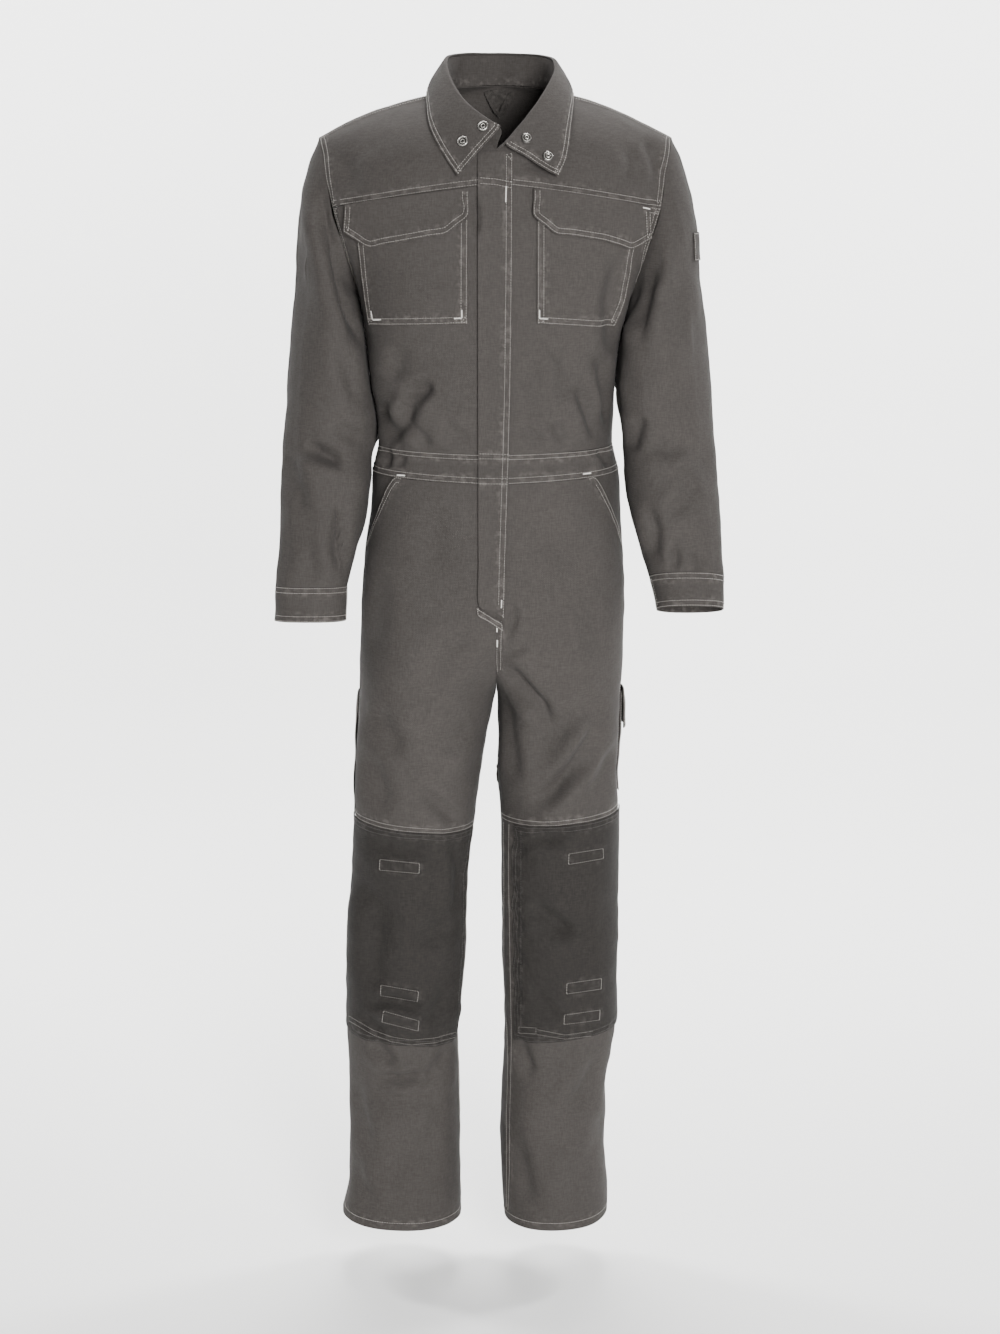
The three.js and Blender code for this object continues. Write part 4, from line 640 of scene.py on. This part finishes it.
def edges_of(piece):
    """The free edges of a sheet, each as a ring of vertex numbers."""
    sheet = bmesh.new()
    sheet.from_mesh(piece.data)
    step = {}
    for edge in sheet.edges:
        if len(edge.link_faces) == 1:
            a, b = (v.index for v in edge.verts)
            step.setdefault(a, []).append(b)
            step.setdefault(b, []).append(a)
    sheet.free()
    rings, left = [], set(step)
    while left:
        ring = [left.pop()]
        while True:
            onward = [v for v in step[ring[-1]] if v in left]
            if not onward:
                break
            ring.append(onward[0])
            left.remove(onward[0])
        rings.append(ring)
    return rings


def seam(piece, marks, inset):
    """A line that keeps inset mm inside a piece's edge, past the marks (x, y, z in mm) in turn.

    With one mark the line goes all round the edge that is nearest to it.
    """
    points = read_points(piece.data)
    normals = read_points(piece.data, "normal")
    marks = [np.array(m) / 1000.0 for m in marks]
    rings = edges_of(piece)
    ring = min(rings, key=lambda r: np.min(np.linalg.norm(points[r] - marks[0], axis=1)))
    stops = [int(np.argmin(np.linalg.norm(points[ring] - m, axis=1))) for m in marks]
    if len(marks) == 1:
        path = list(range(len(ring))) + [0]
    else:
        path = [stops[0]]
        for a, b in zip(stops, stops[1:]):
            ahead = (b - a) % len(ring)
            back = (a - b) % len(ring)
            way = 1 if ahead <= back else -1
            path += [(a + way * k) % len(ring) for k in range(1, min(ahead, back) + 1)]
    line = points[[ring[i] for i in path]]
    facing = normals[[ring[i] for i in path]]
    if len(marks) == 1:
        run = np.gradient(np.concatenate([line[-3:-1], line, line[1:3]]), axis=0)[2:-2]
    else:
        run = np.gradient(line, axis=0)
    inward = np.cross(facing, run)
    inward /= np.linalg.norm(inward, axis=1)[:, None] + 1e-12
    surface = surface_of(piece)
    # Inwards is the way in which a step of 6 mm stays nearer to the cloth.
    step = 0.006
    tests = range(0, len(line), max(1, len(line) // 12))
    misses = [
        sum(surface.find_nearest(Vector(line[i] + way * inward[i] * step))[3] for i in tests)
        for way in (1, -1)
    ]
    if misses[1] < misses[0]:
        inward = -inward
    laid = [surface.find_nearest(Vector(p)) for p in line + inward * inset / 1000.0]
    return np.array([hit[0] for hit in laid]), np.array([hit[1] for hit in laid])


def traced(pieces, places):
    """A line on the cloth where the camera sees these places of the picture."""
    surface = surface_of(*pieces)
    points, normals = [], []
    for (ax, ay), (bx, by) in zip(places, places[1:]):
        steps = max(2, int(math.hypot(bx - ax, by - ay) / 2.0))
        for k in range(steps + 1):
            t = k / steps
            ray = picture_ray(ax + (bx - ax) * t, ay + (by - ay) * t)
            hit = surface.ray_cast(STAND, ray)
            if hit[0] is not None:
                points.append(hit[0])
                normals.append(hit[1] if hit[1].dot(ray) < 0 else -hit[1])
    return np.array(points), np.array(normals)


def sewing(name, lines, material, pitch=3.4, length=2.6, width=0.85, across=False):
    """Rows of stitches along lines of points and normals, as one piece of short bent threads.

    The thread is drawn about 0.8 mm thick, twice the real one, so that the rows show in the picture.
    """
    ring = [(-0.30, 0.5, 0.0), (-0.30, 0.0, 0.42), (-0.30, -0.5, 0.0), (-0.30, 0.0, -0.30)]
    ring += [(0.30, y, z) for _, y, z in ring]
    shape = np.array([(-0.5, 0.0, -0.22)] + ring + [(0.5, 0.0, -0.22)])
    shape = shape * np.array([length, width, width]) / 1000.0
    quads = [(1 + i, 1 + (i + 1) % 4, 5 + (i + 1) % 4, 5 + i) for i in range(4)]
    tips = [(0, 1 + (i + 1) % 4, 1 + i) for i in range(4)]
    tips += [(9, 5 + i, 5 + (i + 1) % 4) for i in range(4)]
    lift = 0.0002
    corners, faces, count = [], [], 0
    for points, normals in lines:
        if len(points) < 2:
            continue
        keep = np.concatenate([[True], np.linalg.norm(np.diff(points, axis=0), axis=1) > 1e-6])
        points, normals = points[keep], normals[keep]
        run = np.concatenate([[0.0], np.cumsum(np.linalg.norm(np.diff(points, axis=0), axis=1))])
        if run[-1] * 1000.0 < pitch:
            continue
        number = max(1, int(run[-1] * 1000.0 / pitch))
        at = (np.arange(number) + 0.5) / number * run[-1]
        centre = np.stack([np.interp(at, run, points[:, k]) for k in range(3)], axis=1)
        up = np.stack([np.interp(at, run, normals[:, k]) for k in range(3)], axis=1)
        up /= np.linalg.norm(up, axis=1)[:, None]
        ahead = np.stack([np.interp(at + 0.001, run, points[:, k]) for k in range(3)], axis=1)
        behind = np.stack([np.interp(at - 0.001, run, points[:, k]) for k in range(3)], axis=1)
        along = ahead - behind
        along -= up * np.sum(along * up, axis=1)[:, None]
        along /= np.linalg.norm(along, axis=1)[:, None] + 1e-12
        side = np.cross(up, along)
        if across:
            along, side = side, -along
        made = (
            centre[:, None, :]
            + up[:, None, :] * lift
            + shape[None, :, 0, None] * along[:, None, :]
            + shape[None, :, 1, None] * side[:, None, :]
            + shape[None, :, 2, None] * up[:, None, :]
        )
        corners.append(made.reshape(-1, 3))
        for k in range(number):
            start = count + 10 * k
            faces.extend(tuple(start + i for i in f) for f in quads + tips)
        count += 10 * number
    mesh = bpy.data.meshes.new(name)
    mesh.from_pydata(np.concatenate(corners).tolist(), [], faces)
    piece = bpy.data.objects.new(name, mesh)
    bpy.context.collection.objects.link(piece)
    mesh.polygons.foreach_set("use_smooth", [True] * len(mesh.polygons))
    mesh.materials.append(material)
    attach(piece, "root")
    return piece


def finish_cloth(
    piece, lines=(), threads=(), material=twill
):
    """Note how far each point lies from a row of stitches, then give the sheet its thickness.
    """
    far = 30.0
    gaps = np.full(len(piece.data.vertices), far)
    rows = [point for points, _ in lines for point in points]
    if rows:
        tree = KDTree(len(rows))
        for i, point in enumerate(rows):
            tree.insert(point, i)
        tree.balance()
        gaps = [min(far, tree.find(v.co)[2] * 1000.0) for v in piece.data.vertices]
    sewn = piece.data.attributes.new("sewn", "FLOAT", "POINT")
    sewn.data.foreach_set("value", np.array(gaps, dtype=np.float32))
    replaced, wall = made_from[piece.name]
    thickness = piece.modifiers.new("wall", "SOLIDIFY")
    thickness.thickness = wall / 1000.0
    thickness.offset = -1.0
    bpy.context.view_layer.objects.active = piece
    piece.select_set(True)
    bpy.ops.object.modifier_apply(modifier="wall")
    bpy.ops.object.shade_smooth_by_angle(angle=math.radians(50))
    piece.select_set(False)
    piece.data.materials.append(material)
    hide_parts(*replaced)
    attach(piece, "root")


# Sewing thread. Core-spun polyester, a light grey that stands out from the cloth; a slight gloss.
def sewing_thread(name, tint, gloss):
    material, tree = new_material(name)
    place = node(tree, "ShaderNodeTexCoord").outputs["Object"]
    ply = node(tree, "ShaderNodeTexNoise", {"Vector": place}, {"Scale": 900.0, "Detail": 2.0})
    shade = node(
        tree,
        "ShaderNodeMapRange",
        {"Value": ply.outputs["Fac"]},
        {"From Min": 0.3, "From Max": 0.7, "To Min": 0.8, "To Max": 1.1},
    )
    tone = node(
        tree,
        "ShaderNodeVectorMath",
        {"Scale": shade.outputs["Result"]},
        {0: tint[:3]},
        operation="SCALE",
    )
    twist = node(tree, "ShaderNodeBump", {"Height": ply.outputs["Fac"]}, {"Distance": 0.0002})
    shader = node(
        tree,
        "ShaderNodeBsdfPrincipled",
        {"Base Color": tone.outputs["Vector"], "Normal": twist.outputs["Normal"]},
        {"Roughness": gloss, "Specular IOR Level": 0.4},
    )
    node(tree, "ShaderNodeOutputMaterial", {"Surface": shader.outputs["BSDF"]})
    return material


pale_thread = sewing_thread("polyester_thread_pale", colour("#8F8B86"), 0.55)
tack_thread = sewing_thread("polyester_thread_dense", colour("#D8D5D0"), 0.5)
tonal_thread = sewing_thread("polyester_thread_tonal", colour("#3B3836"), 0.6)

# A felled seam shows two rows, this far inside the edge in mm. Bar tacks are short, dense rows.
FELL = (2.0, 8.0)
TACK_PITCH = 0.7
TACK_WIDTH = 0.9
HEM_INSET = 10.5


def rows_along(piece, marks, insets=FELL):
    """Parallel rows of stitches inside a piece's edge."""
    return [seam(piece, marks, inset) for inset in insets]


def topstitched(piece, rows, *sizes):
    return sewing(piece.name.replace("_cloth", "_stitching"), rows, pale_thread, *sizes)


def bar_tacked(piece, rows, length):
    name = piece.name.replace("_cloth", "_bar_tacks")
    return sewing(name, rows, tack_thread, TACK_PITCH, length, TACK_WIDTH, True)


KNEE_MARKS = {
    "right": [(-168, -20, -962), (-100, -100, -970), (-42, -20, -976)],
    "left": [(150, -20, -958), (92, -100, -957), (32, -20, -976)],
}
for side, sign, thigh_area, back_area in (("right", -1, 0.118, 0.268), ("left", 1, 0.113, 0.262)):
    thigh = cloth(f"thigh_front_{side}_cloth", [f"thigh_front_{side}"], PANEL_WALL, 3)
    shin = cloth(f"shin_front_{side}_cloth", [f"shin_front_{side}"], PANEL_WALL, 3)
    backs = [f"thigh_back_{side}", f"shin_back_{side}"]
    leg_back = cloth(f"leg_back_{side}_cloth", backs, PANEL_WALL, 3, merge=0.6)
    shut_rise(thigh, sign)
    shut_rise(leg_back, sign)
    mouth = [(sign * 128, -94, -497), (sign * 150, -72, -550), (sign * 170, -40, -603)]
    below_tack = [(sign * 132, -90, -507)]
    thigh_rows = [seam(thigh, mouth, FELL[0]), seam(thigh, below_tack + mouth[1:], FELL[1])]
    thigh_rows += rows_along(thigh, KNEE_MARKS[side], (1.5, 7.0))
    hem = [(sign * 190, -10, -1545), (sign * 100, -80, -1555), (sign * 45, -10, -1545)]
    shin_rows = [seam(shin, hem, HEM_INSET)]
    tacks = []
    if side == "left":
        # The seam below the fly, and the inside-leg seam, which turns to the front on this leg.
        thigh_rows.append(traced([thigh], [(497, 646), (496.8, 662), (497.4, 672)]))
        thigh_rows.append(traced([thigh], [(501.6, 621), (501, 642), (500.6, 670)]))
        tacks.append(traced([thigh], [(497, 625), (497, 632)]))
        tacks.append(traced([thigh], [(497.2, 640), (497.2, 647)]))
        inseam = [(503.5, 822), (504, 870), (503.9, 1000), (507, 1026), (507.9, 1059)]
        shin_rows.append(traced([shin], inseam + [(506.5, 1119), (506.5, 1207)]))
        inseam = [(509, 822), (508.5, 870), (510.8, 1000), (511.4, 1030), (511.2, 1059)]
        shin_rows.append(traced([shin], inseam + [(509.8, 1119), (509.4, 1174), (508, 1210)]))
    else:
        shin_rows += rows_along(shin, [(-40, -10, -985), (-52, -5, -1250), (-50, -5, -1535)])
    hem = [(sign * 190, 10, -1545), (sign * 110, 60, -1545), (sign * 45, 10, -1545)]
    outside = [(sign * 155, 5, -500), (sign * 180, 5, -800), (sign * 175, 5, -1100)]
    outside.append((sign * 188, 5, -1540))
    inside = [(sign * 10, 5, -800), (sign * 45, 5, -1000), (sign * 50, 5, -1300)]
    inside.append((sign * 47, 5, -1540))
    seat = [(sign * 1, 90, -505), (sign * 1, 100, -620), (sign * 2, 60, -740)]
    back_rows = [seam(leg_back, hem, HEM_INSET)] + rows_along(leg_back, outside)
    back_rows += rows_along(leg_back, inside) + [seam(leg_back, seat, 2.5)]
    thigh_threads = [topstitched(thigh, thigh_rows)]
    if tacks:
        thigh_threads.append(bar_tacked(thigh, tacks, 2.2))
    shin_threads = [topstitched(shin, shin_rows)]
    back_threads = [topstitched(leg_back, back_rows)]
    finish_cloth(thigh, thigh_rows, thigh_threads)
    finish_cloth(shin, shin_rows, shin_threads)
    finish_cloth(leg_back, back_rows, back_threads)

# Knee patches. A second layer of harder, darker cloth from the knee seam to mid shin, open inside
# for a pad. Tonal rows hold it; pale ones show where the hook-and-loop tapes are sewn on behind.
knee_cloth = woven_cloth(
    "polyamide_knee_cloth", colour("#242221"), colour("#2C2A28"), colour("#403D3B"), 0.35
)
PATCH_WALL = 1.2
# Corners of each tape's box of stitches in the picture, from the upper left round.
TAPES = {
    "right": (
        ((380, 859.5), (419.5, 863.5), (419, 873.5), (379.5, 870)),
        ((381, 985), (418.5, 991.5), (417.5, 1001.5), (380.5, 995.5)),
        ((383.5, 1011), (419, 1021), (418, 1031), (382, 1022)),
    ),
    "left": (
        ((569, 854), (603, 848.5), (603.5, 858.5), (568.5, 864.5)),
        ((567, 983.5), (601.5, 978.5), (601, 989), (566.5, 994)),
        ((564.5, 1015), (600, 1010), (599.5, 1020), (564, 1024.5)),
    ),
}
# Two pale rows close each patch's foot; on the wearer's left they start at a small box.
FOOT = ((349, 1016), (373, 1030), (392, 1037), (411.5, 1040), (434.5, 1038), (456.5, 1032))
PATCH_FEET = {
    "right": (FOOT, tuple((px, py + 4.8) for px, py in FOOT)),
    "left": (
        ((519, 1027), (536, 1028), (536, 1034), (519, 1033), (519, 1027)),
        ((537, 1029.5), (565, 1035), (593, 1031)),
        ((537, 1034.5), (565, 1039), (591, 1036)),
    ),
}


def edge_mark(piece):
    """A mark on a piece's first edge, for rows that go all round it."""
    return [tuple(read_points(piece.data)[edges_of(piece)[0][0]] * 1000.0)]


for side, flat, area in (("right", (0.22, 0.36), 0.072), ("left", (0.20, 0.35), 0.063)):
    patch = cloth(f"knee_patch_{side}_cloth", [f"knee_patch_{side}"], PATCH_WALL, 3, (0, -1, 0))
    shin = bpy.data.objects[f"shin_front_{side}_cloth"]
    tonal_rows = rows_along(patch, edge_mark(patch))
    if side == "left":
        tonal_rows.append(traced([patch], [(521, 830), (521, 1026)]))
    pale_rows = [traced([patch, shin], line) for line in PATCH_FEET[side]]
    ends = []
    for a, b, c, d in TAPES[side]:
        pale_rows += [traced([patch], [a, b]), traced([patch], [d, c])]
        ends += [traced([patch], [a, d]), traced([patch], [b, c])]
    threads = [
        sewing(f"knee_patch_{side}_tonal_stitching", tonal_rows, tonal_thread),
        sewing(f"knee_patch_{side}_tape_stitching", pale_rows, pale_thread, 3.0, 1.8, 0.6),
        sewing(f"knee_patch_{side}_tape_ends", ends, pale_thread, 3.0, 2.8, 0.9),
    ]
    rows = tonal_rows + pale_rows + ends
    finish_cloth(patch, rows, threads, knee_cloth)

# Side pockets. The hip pockets' facings fill the slanted mouths. A bellows pocket with a flap sits
# on the wearer's left thigh and a narrow rule pocket on the right, both lapped on in two rows.
FACING_WALL = 1.2
POCKET_WALL = 1.1
for side, area in (("right", 0.0064), ("left", 0.0063)):
    facing = cloth(f"hip_facing_{side}_cloth", [f"hip_facing_{side}"], FACING_WALL, 2, (0, -1, 0))
    finish_cloth(facing)
for name, wall, way, flat, area, under in (
    ("thigh_pocket", POCKET_WALL, (1, 0, 0), (0.17, 0.16), 0.0248, "leg_back_left_cloth"),
    ("thigh_flap", PANEL_WALL, (1, 0, 0), (0.18, 0.07), 0.0113, "thigh_pocket_cloth"),
    ("rule_pocket", POCKET_WALL, (-1, 0, 0), (0.12, 0.12), 0.0128, "leg_back_right_cloth"),
):
    pocket = cloth(f"{name}_cloth", [name], wall, 2, way)
    rows = rows_along(pocket, edge_mark(pocket))
    finish_cloth(pocket, rows, [topstitched(pocket, rows)])

# Waistband. A doubled strip of twill let in between bodice and trousers, with two rows along each
# edge; it runs all round and ends under the placket.
waistband = cloth("waistband_cloth", ["waistband"], PANEL_WALL, 3)
rows = []
for front_height, height, insets in ((-459, -459, (1.0, 6.2)), (-497, -492, (1.5, 8.0))):
    marks = [(-12, -113, front_height), (-150, -20, height), (0, 85, height)]
    marks += [(150, -20, height), (12, -113, front_height)]
    rows += rows_along(waistband, marks, insets)
tacks = [traced([waistband], [(397, 475), (405, 475.6)])]
tacks += [traced([waistband], [(583, 474), (591, 473)])]
threads = [topstitched(waistband, rows), bar_tacked(waistband, tacks, 2.2)]
finish_cloth(waistband, rows, threads)

# Bodice. A back in one piece, two fronts and two yokes over the shoulders. The yokes lap over the
# fronts, and every seam is felled and topstitched in two rows.
back = cloth("back_cloth", ["back"], PANEL_WALL, 2)
rows = []
for sign in (-1, 1):
    armhole = [(sign * 158, 10, -228), (sign * 190, 60, -150), (sign * 222, 10, -62)]
    flank = [(sign * 158, 5, -232), (sign * 157, 5, -340), (sign * 153, 5, -455)]
    shoulder = [(sign * 220, 5, -62), (sign * 150, 10, -25), (sign * 88, 20, 4)]
    rows += rows_along(back, armhole) + rows_along(back, flank) + [seam(back, shoulder, 2.0)]
finish_cloth(back, rows, [topstitched(back, rows)])
for side, sign, yoke_area in (("right", -1, 0.031), ("left", 1, 0.030)):
    front = cloth(f"front_{side}_cloth", [f"front_{side}"], PANEL_WALL, 3)
    yoke = cloth(f"yoke_{side}_cloth", [f"yoke_{side}"], PANEL_WALL, 3)
    armhole = [(sign * 188, -50, -148), (sign * 172, -60, -185), (sign * 158, -10, -226)]
    front_rows = rows_along(front, armhole)
    yoke_seam = [(sign * 188, -50, -140), (sign * 100, -100, -126), (sign * 3, -118, -114)]
    shoulder_end = (sign * 218, -10, -62)
    armhole = [(sign * 190, -50, -140), (sign * 204, -40, -100), shoulder_end]
    shoulder = [shoulder_end, (sign * 150, -5, -25), (sign * 88, 0, 0)]
    yoke_rows = rows_along(yoke, yoke_seam, (1.5, 7.5)) + rows_along(yoke, armhole)
    yoke_rows += rows_along(yoke, shoulder, (2.0, 7.0))
    front_threads = [topstitched(front, front_rows)]
    yoke_threads = [topstitched(yoke, yoke_rows)]
    finish_cloth(front, front_rows, front_threads)
    finish_cloth(yoke, yoke_rows, yoke_threads)

# Placket and fly tab. A doubled strip hides the zip from collar to fly; only its left edge is sewn
# down, in two rows. A short tab closes its foot, sewn round and tacked.
PLACKET_WALL = 1.3
placket = cloth("placket_cloth", ["placket"], PLACKET_WALL, 3, (0, -1, 0))
# The free edge stands 2.6 mm off the front, so a dark line runs down beside it.
PLACKET_LIFT = 0.0026
points = read_points(placket.data)
at = picture_place(points)
loose = smooth((488.0 - at[:, 0]) / 7.0) * smooth((at[:, 1] - 150.0) / 30.0)
points[:, 1] -= PLACKET_LIFT * loose * smooth((612.0 - at[:, 1]) / 10.0)
write_points(placket.data, points)
sewn_edge = [(19, -115, -75), (17, -120, -300), (14, -118, -600)]
rows = [seam(placket, sewn_edge + [(10, -115, -668)], 1.5)]
rows += [seam(placket, sewn_edge[:2] + [(10, -118, -655)], 8.0)]
# The yoke's rows and the waistband's are sewn on across it.
rows += [traced([placket], [(480, 177.7), (496, 179), (512, 182)])]
rows += [traced([placket], [(480, 183.3), (496, 184.5), (512, 188)])]
for left, right in ((453.8, 454.5), (458.7, 459.2), (478.3, 478.5), (483.8, 484.0)):
    rows += [traced([placket], [(479, left), (511, right)])]
tacks = [traced([placket], [(506.3, 186), (505.8, 202)])]
tacks += [traced([placket], [(501.6, 600), (501.4, 608)])]
threads = [topstitched(placket, rows), bar_tacked(placket, tacks, 2.0)]
finish_cloth(placket, rows, threads)
tab = cloth("fly_tab_cloth", ["fly_tab"], POCKET_WALL, 3, (0, -1, 0))
rows = [seam(tab, edge_mark(tab), 1.8)]
threads = [topstitched(tab, rows, 3.0, 2.8, 1.0)]
finish_cloth(tab, rows, threads)

# Breast pockets. Patch pockets sewn on in two rows under pointed flaps that hang from the yoke seam;
# near-white bar tacks guard the corners.
FLAP_LIFT = 0.0022
for side, flat, pocket_area, flap_area in (
    ("right", (0.145, 0.155), 0.0214, 0.0086),
    ("left", (0.145, 0.150), 0.0197, 0.0085),
):
    pocket = cloth(f"chest_pocket_{side}_cloth", [f"chest_pocket_{side}"], POCKET_WALL, 3, (0, -1, 0))
    flap = cloth(f"chest_flap_{side}_cloth", [f"chest_flap_{side}"], PANEL_WALL, 3, (0, -1, 0))
    # The flap's free edge stands off the pocket and throws a thin shadow on it.
    points = read_points(flap.data)
    points[:, 1] -= FLAP_LIFT * smooth((picture_place(points)[:, 1] - 200.0) / 36.0)
    write_points(flap.data, points)
    if side == "right":
        marks = [(-178, -70, -157), (-161, -80, -295), (-36, -120, -290), (-35, -120, -140)]
        edge = [(-190, -70, -145), (-190, -75, -176), (-160, -90, -194), (-61, -118, -178)]
        edge += [(-33, -120, -155), (-34, -120, -124)]
        tacks = [[(373, 320), (381, 319.6)], [(372.4, 319.5), (371, 311)]]
        tacks += [[(454, 318.6), (461.5, 318.2)], [(461.8, 318), (461.8, 310)]]
    else:
        marks = [(187, -65, -160), (154, -90, -298), (52, -118, -290), (52, -118, -140)]
        edge = [(200, -65, -152), (200, -65, -182), (171, -85, -196), (82, -112, -177)]
        edge += [(49, -120, -155), (47, -120, -124)]
        tacks = [[(539.5, 310), (539.5, 318.5)], [(540, 318.5), (548, 319)]]
        tacks += [[(643, 207.5), (650, 209)]]
    pocket_rows = rows_along(pocket, marks, (1.8, 8.5))
    flap_rows = rows_along(flap, edge)
    tack_rows = [traced([pocket, flap], line) for line in tacks]
    flap_threads = [topstitched(flap, flap_rows)]
    threads = [topstitched(pocket, pocket_rows), bar_tacked(pocket, tack_rows, 1.9)]
    under = [f"front_{side}_cloth"]
    finish_cloth(pocket, pocket_rows, threads)
    finish_cloth(flap, flap_rows, flap_threads)

# Sleeves and cuffs. Each sleeve is one cut of twill, felled under the arm and set into the armhole;
# a doubled cuff ends it, topstitched in two rows that run round its edges and its own end.
SLEEVE_GAP = 0.0016
SLEEVE_REACH = 0.03
SLEEVE_SWING = 0.0058
CUFF_WALL = 1.8
for side, sign, foot, cuff_area in (("right", -1, -440.0, 0.0129), ("left", 1, -372.0, 0.0123)):
    parts = [f"{part}_{face}_{side}" for part in ("upper_arm", "forearm") for face in ("front", "back")]
    sleeve = cloth(f"sleeve_{side}_cloth", parts, PANEL_WALL, 3, merge=0.6)
    # The inner side of the sleeve hangs against the body as far down as in the picture.
    around = ["back_cloth", f"front_{side}_cloth", "waistband_cloth", f"leg_back_{side}_cloth"]
    body = surface_of(*[bpy.data.objects[name] for name in around])
    points = read_points(sleeve.data)
    inner = smooth(-sign * read_points(sleeve.data, "normal")[:, 0] / 0.5)
    y, z = points[:, 1] * 1000.0, points[:, 2] * 1000.0
    weight = inner * smooth((z - foot + 60.0) / 60.0)
    weight *= smooth((-236.0 - z) / 30.0) * smooth((y + 35.0) / 25.0) * smooth((62.0 - y) / 25.0)
    for i in np.nonzero(weight > 0.001)[0]:
        hit = body.ray_cast(Vector(points[i]), Vector((-sign, 0.0, 0.0)), SLEEVE_REACH)
        if hit[0] is not None:
            points[i, 0] -= sign * weight[i] * (hit[3] - SLEEVE_GAP)
    if side == "right":
        # Above this cuff the sleeve swings in and all but touches the hip.
        swing = inner * smooth((z + 600.0) / 50.0) * smooth((-462.0 - z) / 40.0)
        points[:, 0] += SLEEVE_SWING * swing
    write_points(sleeve.data, points)
    cuff = cloth(f"cuff_{side}_cloth", [f"cuff_{side}"], CUFF_WALL, 2)
    rows = rows_along(cuff, edge_mark(cuff), (1.5, 8.0))
    threads = [topstitched(cuff, rows)]
    finish_cloth(sleeve)
    finish_cloth(cuff, rows, threads)
badge = cloth("sleeve_badge_cloth", ["sleeve_badge"], POCKET_WALL, 2, (1, 0, 0))
rows = [seam(badge, edge_mark(badge), 1.5)]
threads = [topstitched(badge, rows, 3.0, 2.7, 0.8)]
finish_cloth(badge, rows, threads)

# Collar. A stand and a turned-down leaf of two layers each, with open fronts. Two rows follow the
# leaf's free edge, and one holds the stand's foot inside the neck.
stand = cloth("collar_stand_cloth", ["collar_stand"], PANEL_WALL, 2, calm=0.4)
leaf = cloth("collar_leaf_cloth", ["collar_leaf"], PANEL_WALL, 3, calm=0.6)
fall = [(10, -110, -68), (47, -117, -88), (79, -118, -107), (93, -94, -64), (98, -44, -20)]
fall += [(100, -10, -5), (97, 19, -2), (80, 70, 1), (36, 94, 3), (-24, 94, 3), (-68, 70, 1)]
fall += [(-87, 20, -1), (-90, -8, -3), (-88, -39, -17), (-79, -86, -56), (-48, -120, -106)]
fall += [(-36, -119, -92), (11, -108, -51)]
leaf_rows = rows_along(leaf, fall, (2.2, 7.0))
foot_row = [traced([stand], [(452, 81.5), (475, 82.5), (500, 83), (525, 82.5), (549, 81.5)])]
leaf_threads = [topstitched(leaf, leaf_rows)]
stand_threads = [topstitched(stand, foot_row)]
finish_cloth(stand, foot_row, stand_threads)
finish_cloth(leaf, leaf_rows, leaf_threads)

# Label and hanger loop. A bare woven label and a folded tape, both of polyester and caught in the
# neck seam. Their solids are shown as they are, in a close, dark weave.
webbing = woven_cloth(
    "woven_polyester_tape", colour("#2E2C2A"), colour("#3A3735"), colour("#4A4744"), 0.4
)
for name in ("neck_label", "hanger_loop"):
    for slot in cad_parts[name].material_slots:
        slot.material = webbing

# Snap fasteners. Nickel-plated steel, pressed through the leaf: sockets on the wearer's right leaf
# show a bright ring round a well, and studs on the left leaf a smaller ring. The plate under the
# rings is coloured a dark steel, which paints the shade in the wells.
def plated_steel(name, tint, smoothest, roughest):
    material, tree = new_material(name)
    place = node(tree, "ShaderNodeTexCoord").outputs["Object"]
    scuff = node(tree, "ShaderNodeTexNoise", {"Vector": place}, {"Scale": 1400.0, "Detail": 3.0})
    rough = node(
        tree,
        "ShaderNodeMapRange",
        {"Value": scuff.outputs["Fac"]},
        {"From Min": 0.3, "From Max": 0.7, "To Min": smoothest, "To Max": roughest},
    )
    shader = node(
        tree,
        "ShaderNodeBsdfPrincipled",
        {"Roughness": rough.outputs["Result"]},
        {"Base Color": tint, "Metallic": 1.0},
    )
    node(tree, "ShaderNodeOutputMaterial", {"Surface": shader.outputs["BSDF"]})
    return material


steel = plated_steel("nickel_plated_steel", colour("#A9A6A1"), 0.25, 0.45)
well_shade_steel = plated_steel("steel_with_painted_well_shade", colour("#4A4846"), 0.45, 0.65)
# Each row is a ring's middle radius and its thickness, and how high it stands, in mm.
SOCKET_RINGS = ((5.7, 1.0, 0.2), (2.6, 0.8, 0.2))
STUD_RINGS = ((5.0, 0.8, 0.2), (2.2, 0.9, 0.9))
for name, rings in (
    ("snap_socket_upper", SOCKET_RINGS),
    ("snap_socket_lower", SOCKET_RINGS),
    ("snap_stud_upper", STUD_RINGS),
    ("snap_stud_lower", STUD_RINGS),
):
    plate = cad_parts[name]
    # The plate gets the dark steel: painted shade of the well round and inside the rings.
    for slot in plate.material_slots:
        slot.material = well_shade_steel
    corners = read_points(plate.data)
    middle = corners.mean(axis=0)
    axis = np.linalg.svd(corners - middle)[2][2]
    axis = axis * -np.sign(axis[1])
    face = middle + axis * ((corners - middle) @ axis).max()
    turn = Vector(axis).to_track_quat("Z", "Y").to_euler()
    for number, (radius, thick, height) in enumerate(rings):
        bpy.ops.object.select_all(action="DESELECT")
        bpy.ops.mesh.primitive_torus_add(
            location=face + axis * height / 1000.0,
            rotation=turn,
            major_radius=radius / 1000.0,
            minor_radius=thick / 1000.0,
            major_segments=40,
            minor_segments=12,
        )
        ring = bpy.context.object
        ring.name = f"{name}_ring_{number + 1}"
        bpy.ops.object.transform_apply(location=True, rotation=True, scale=True)
        bpy.ops.object.shade_smooth()
        ring.data.materials.append(steel)
        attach(ring, "root")
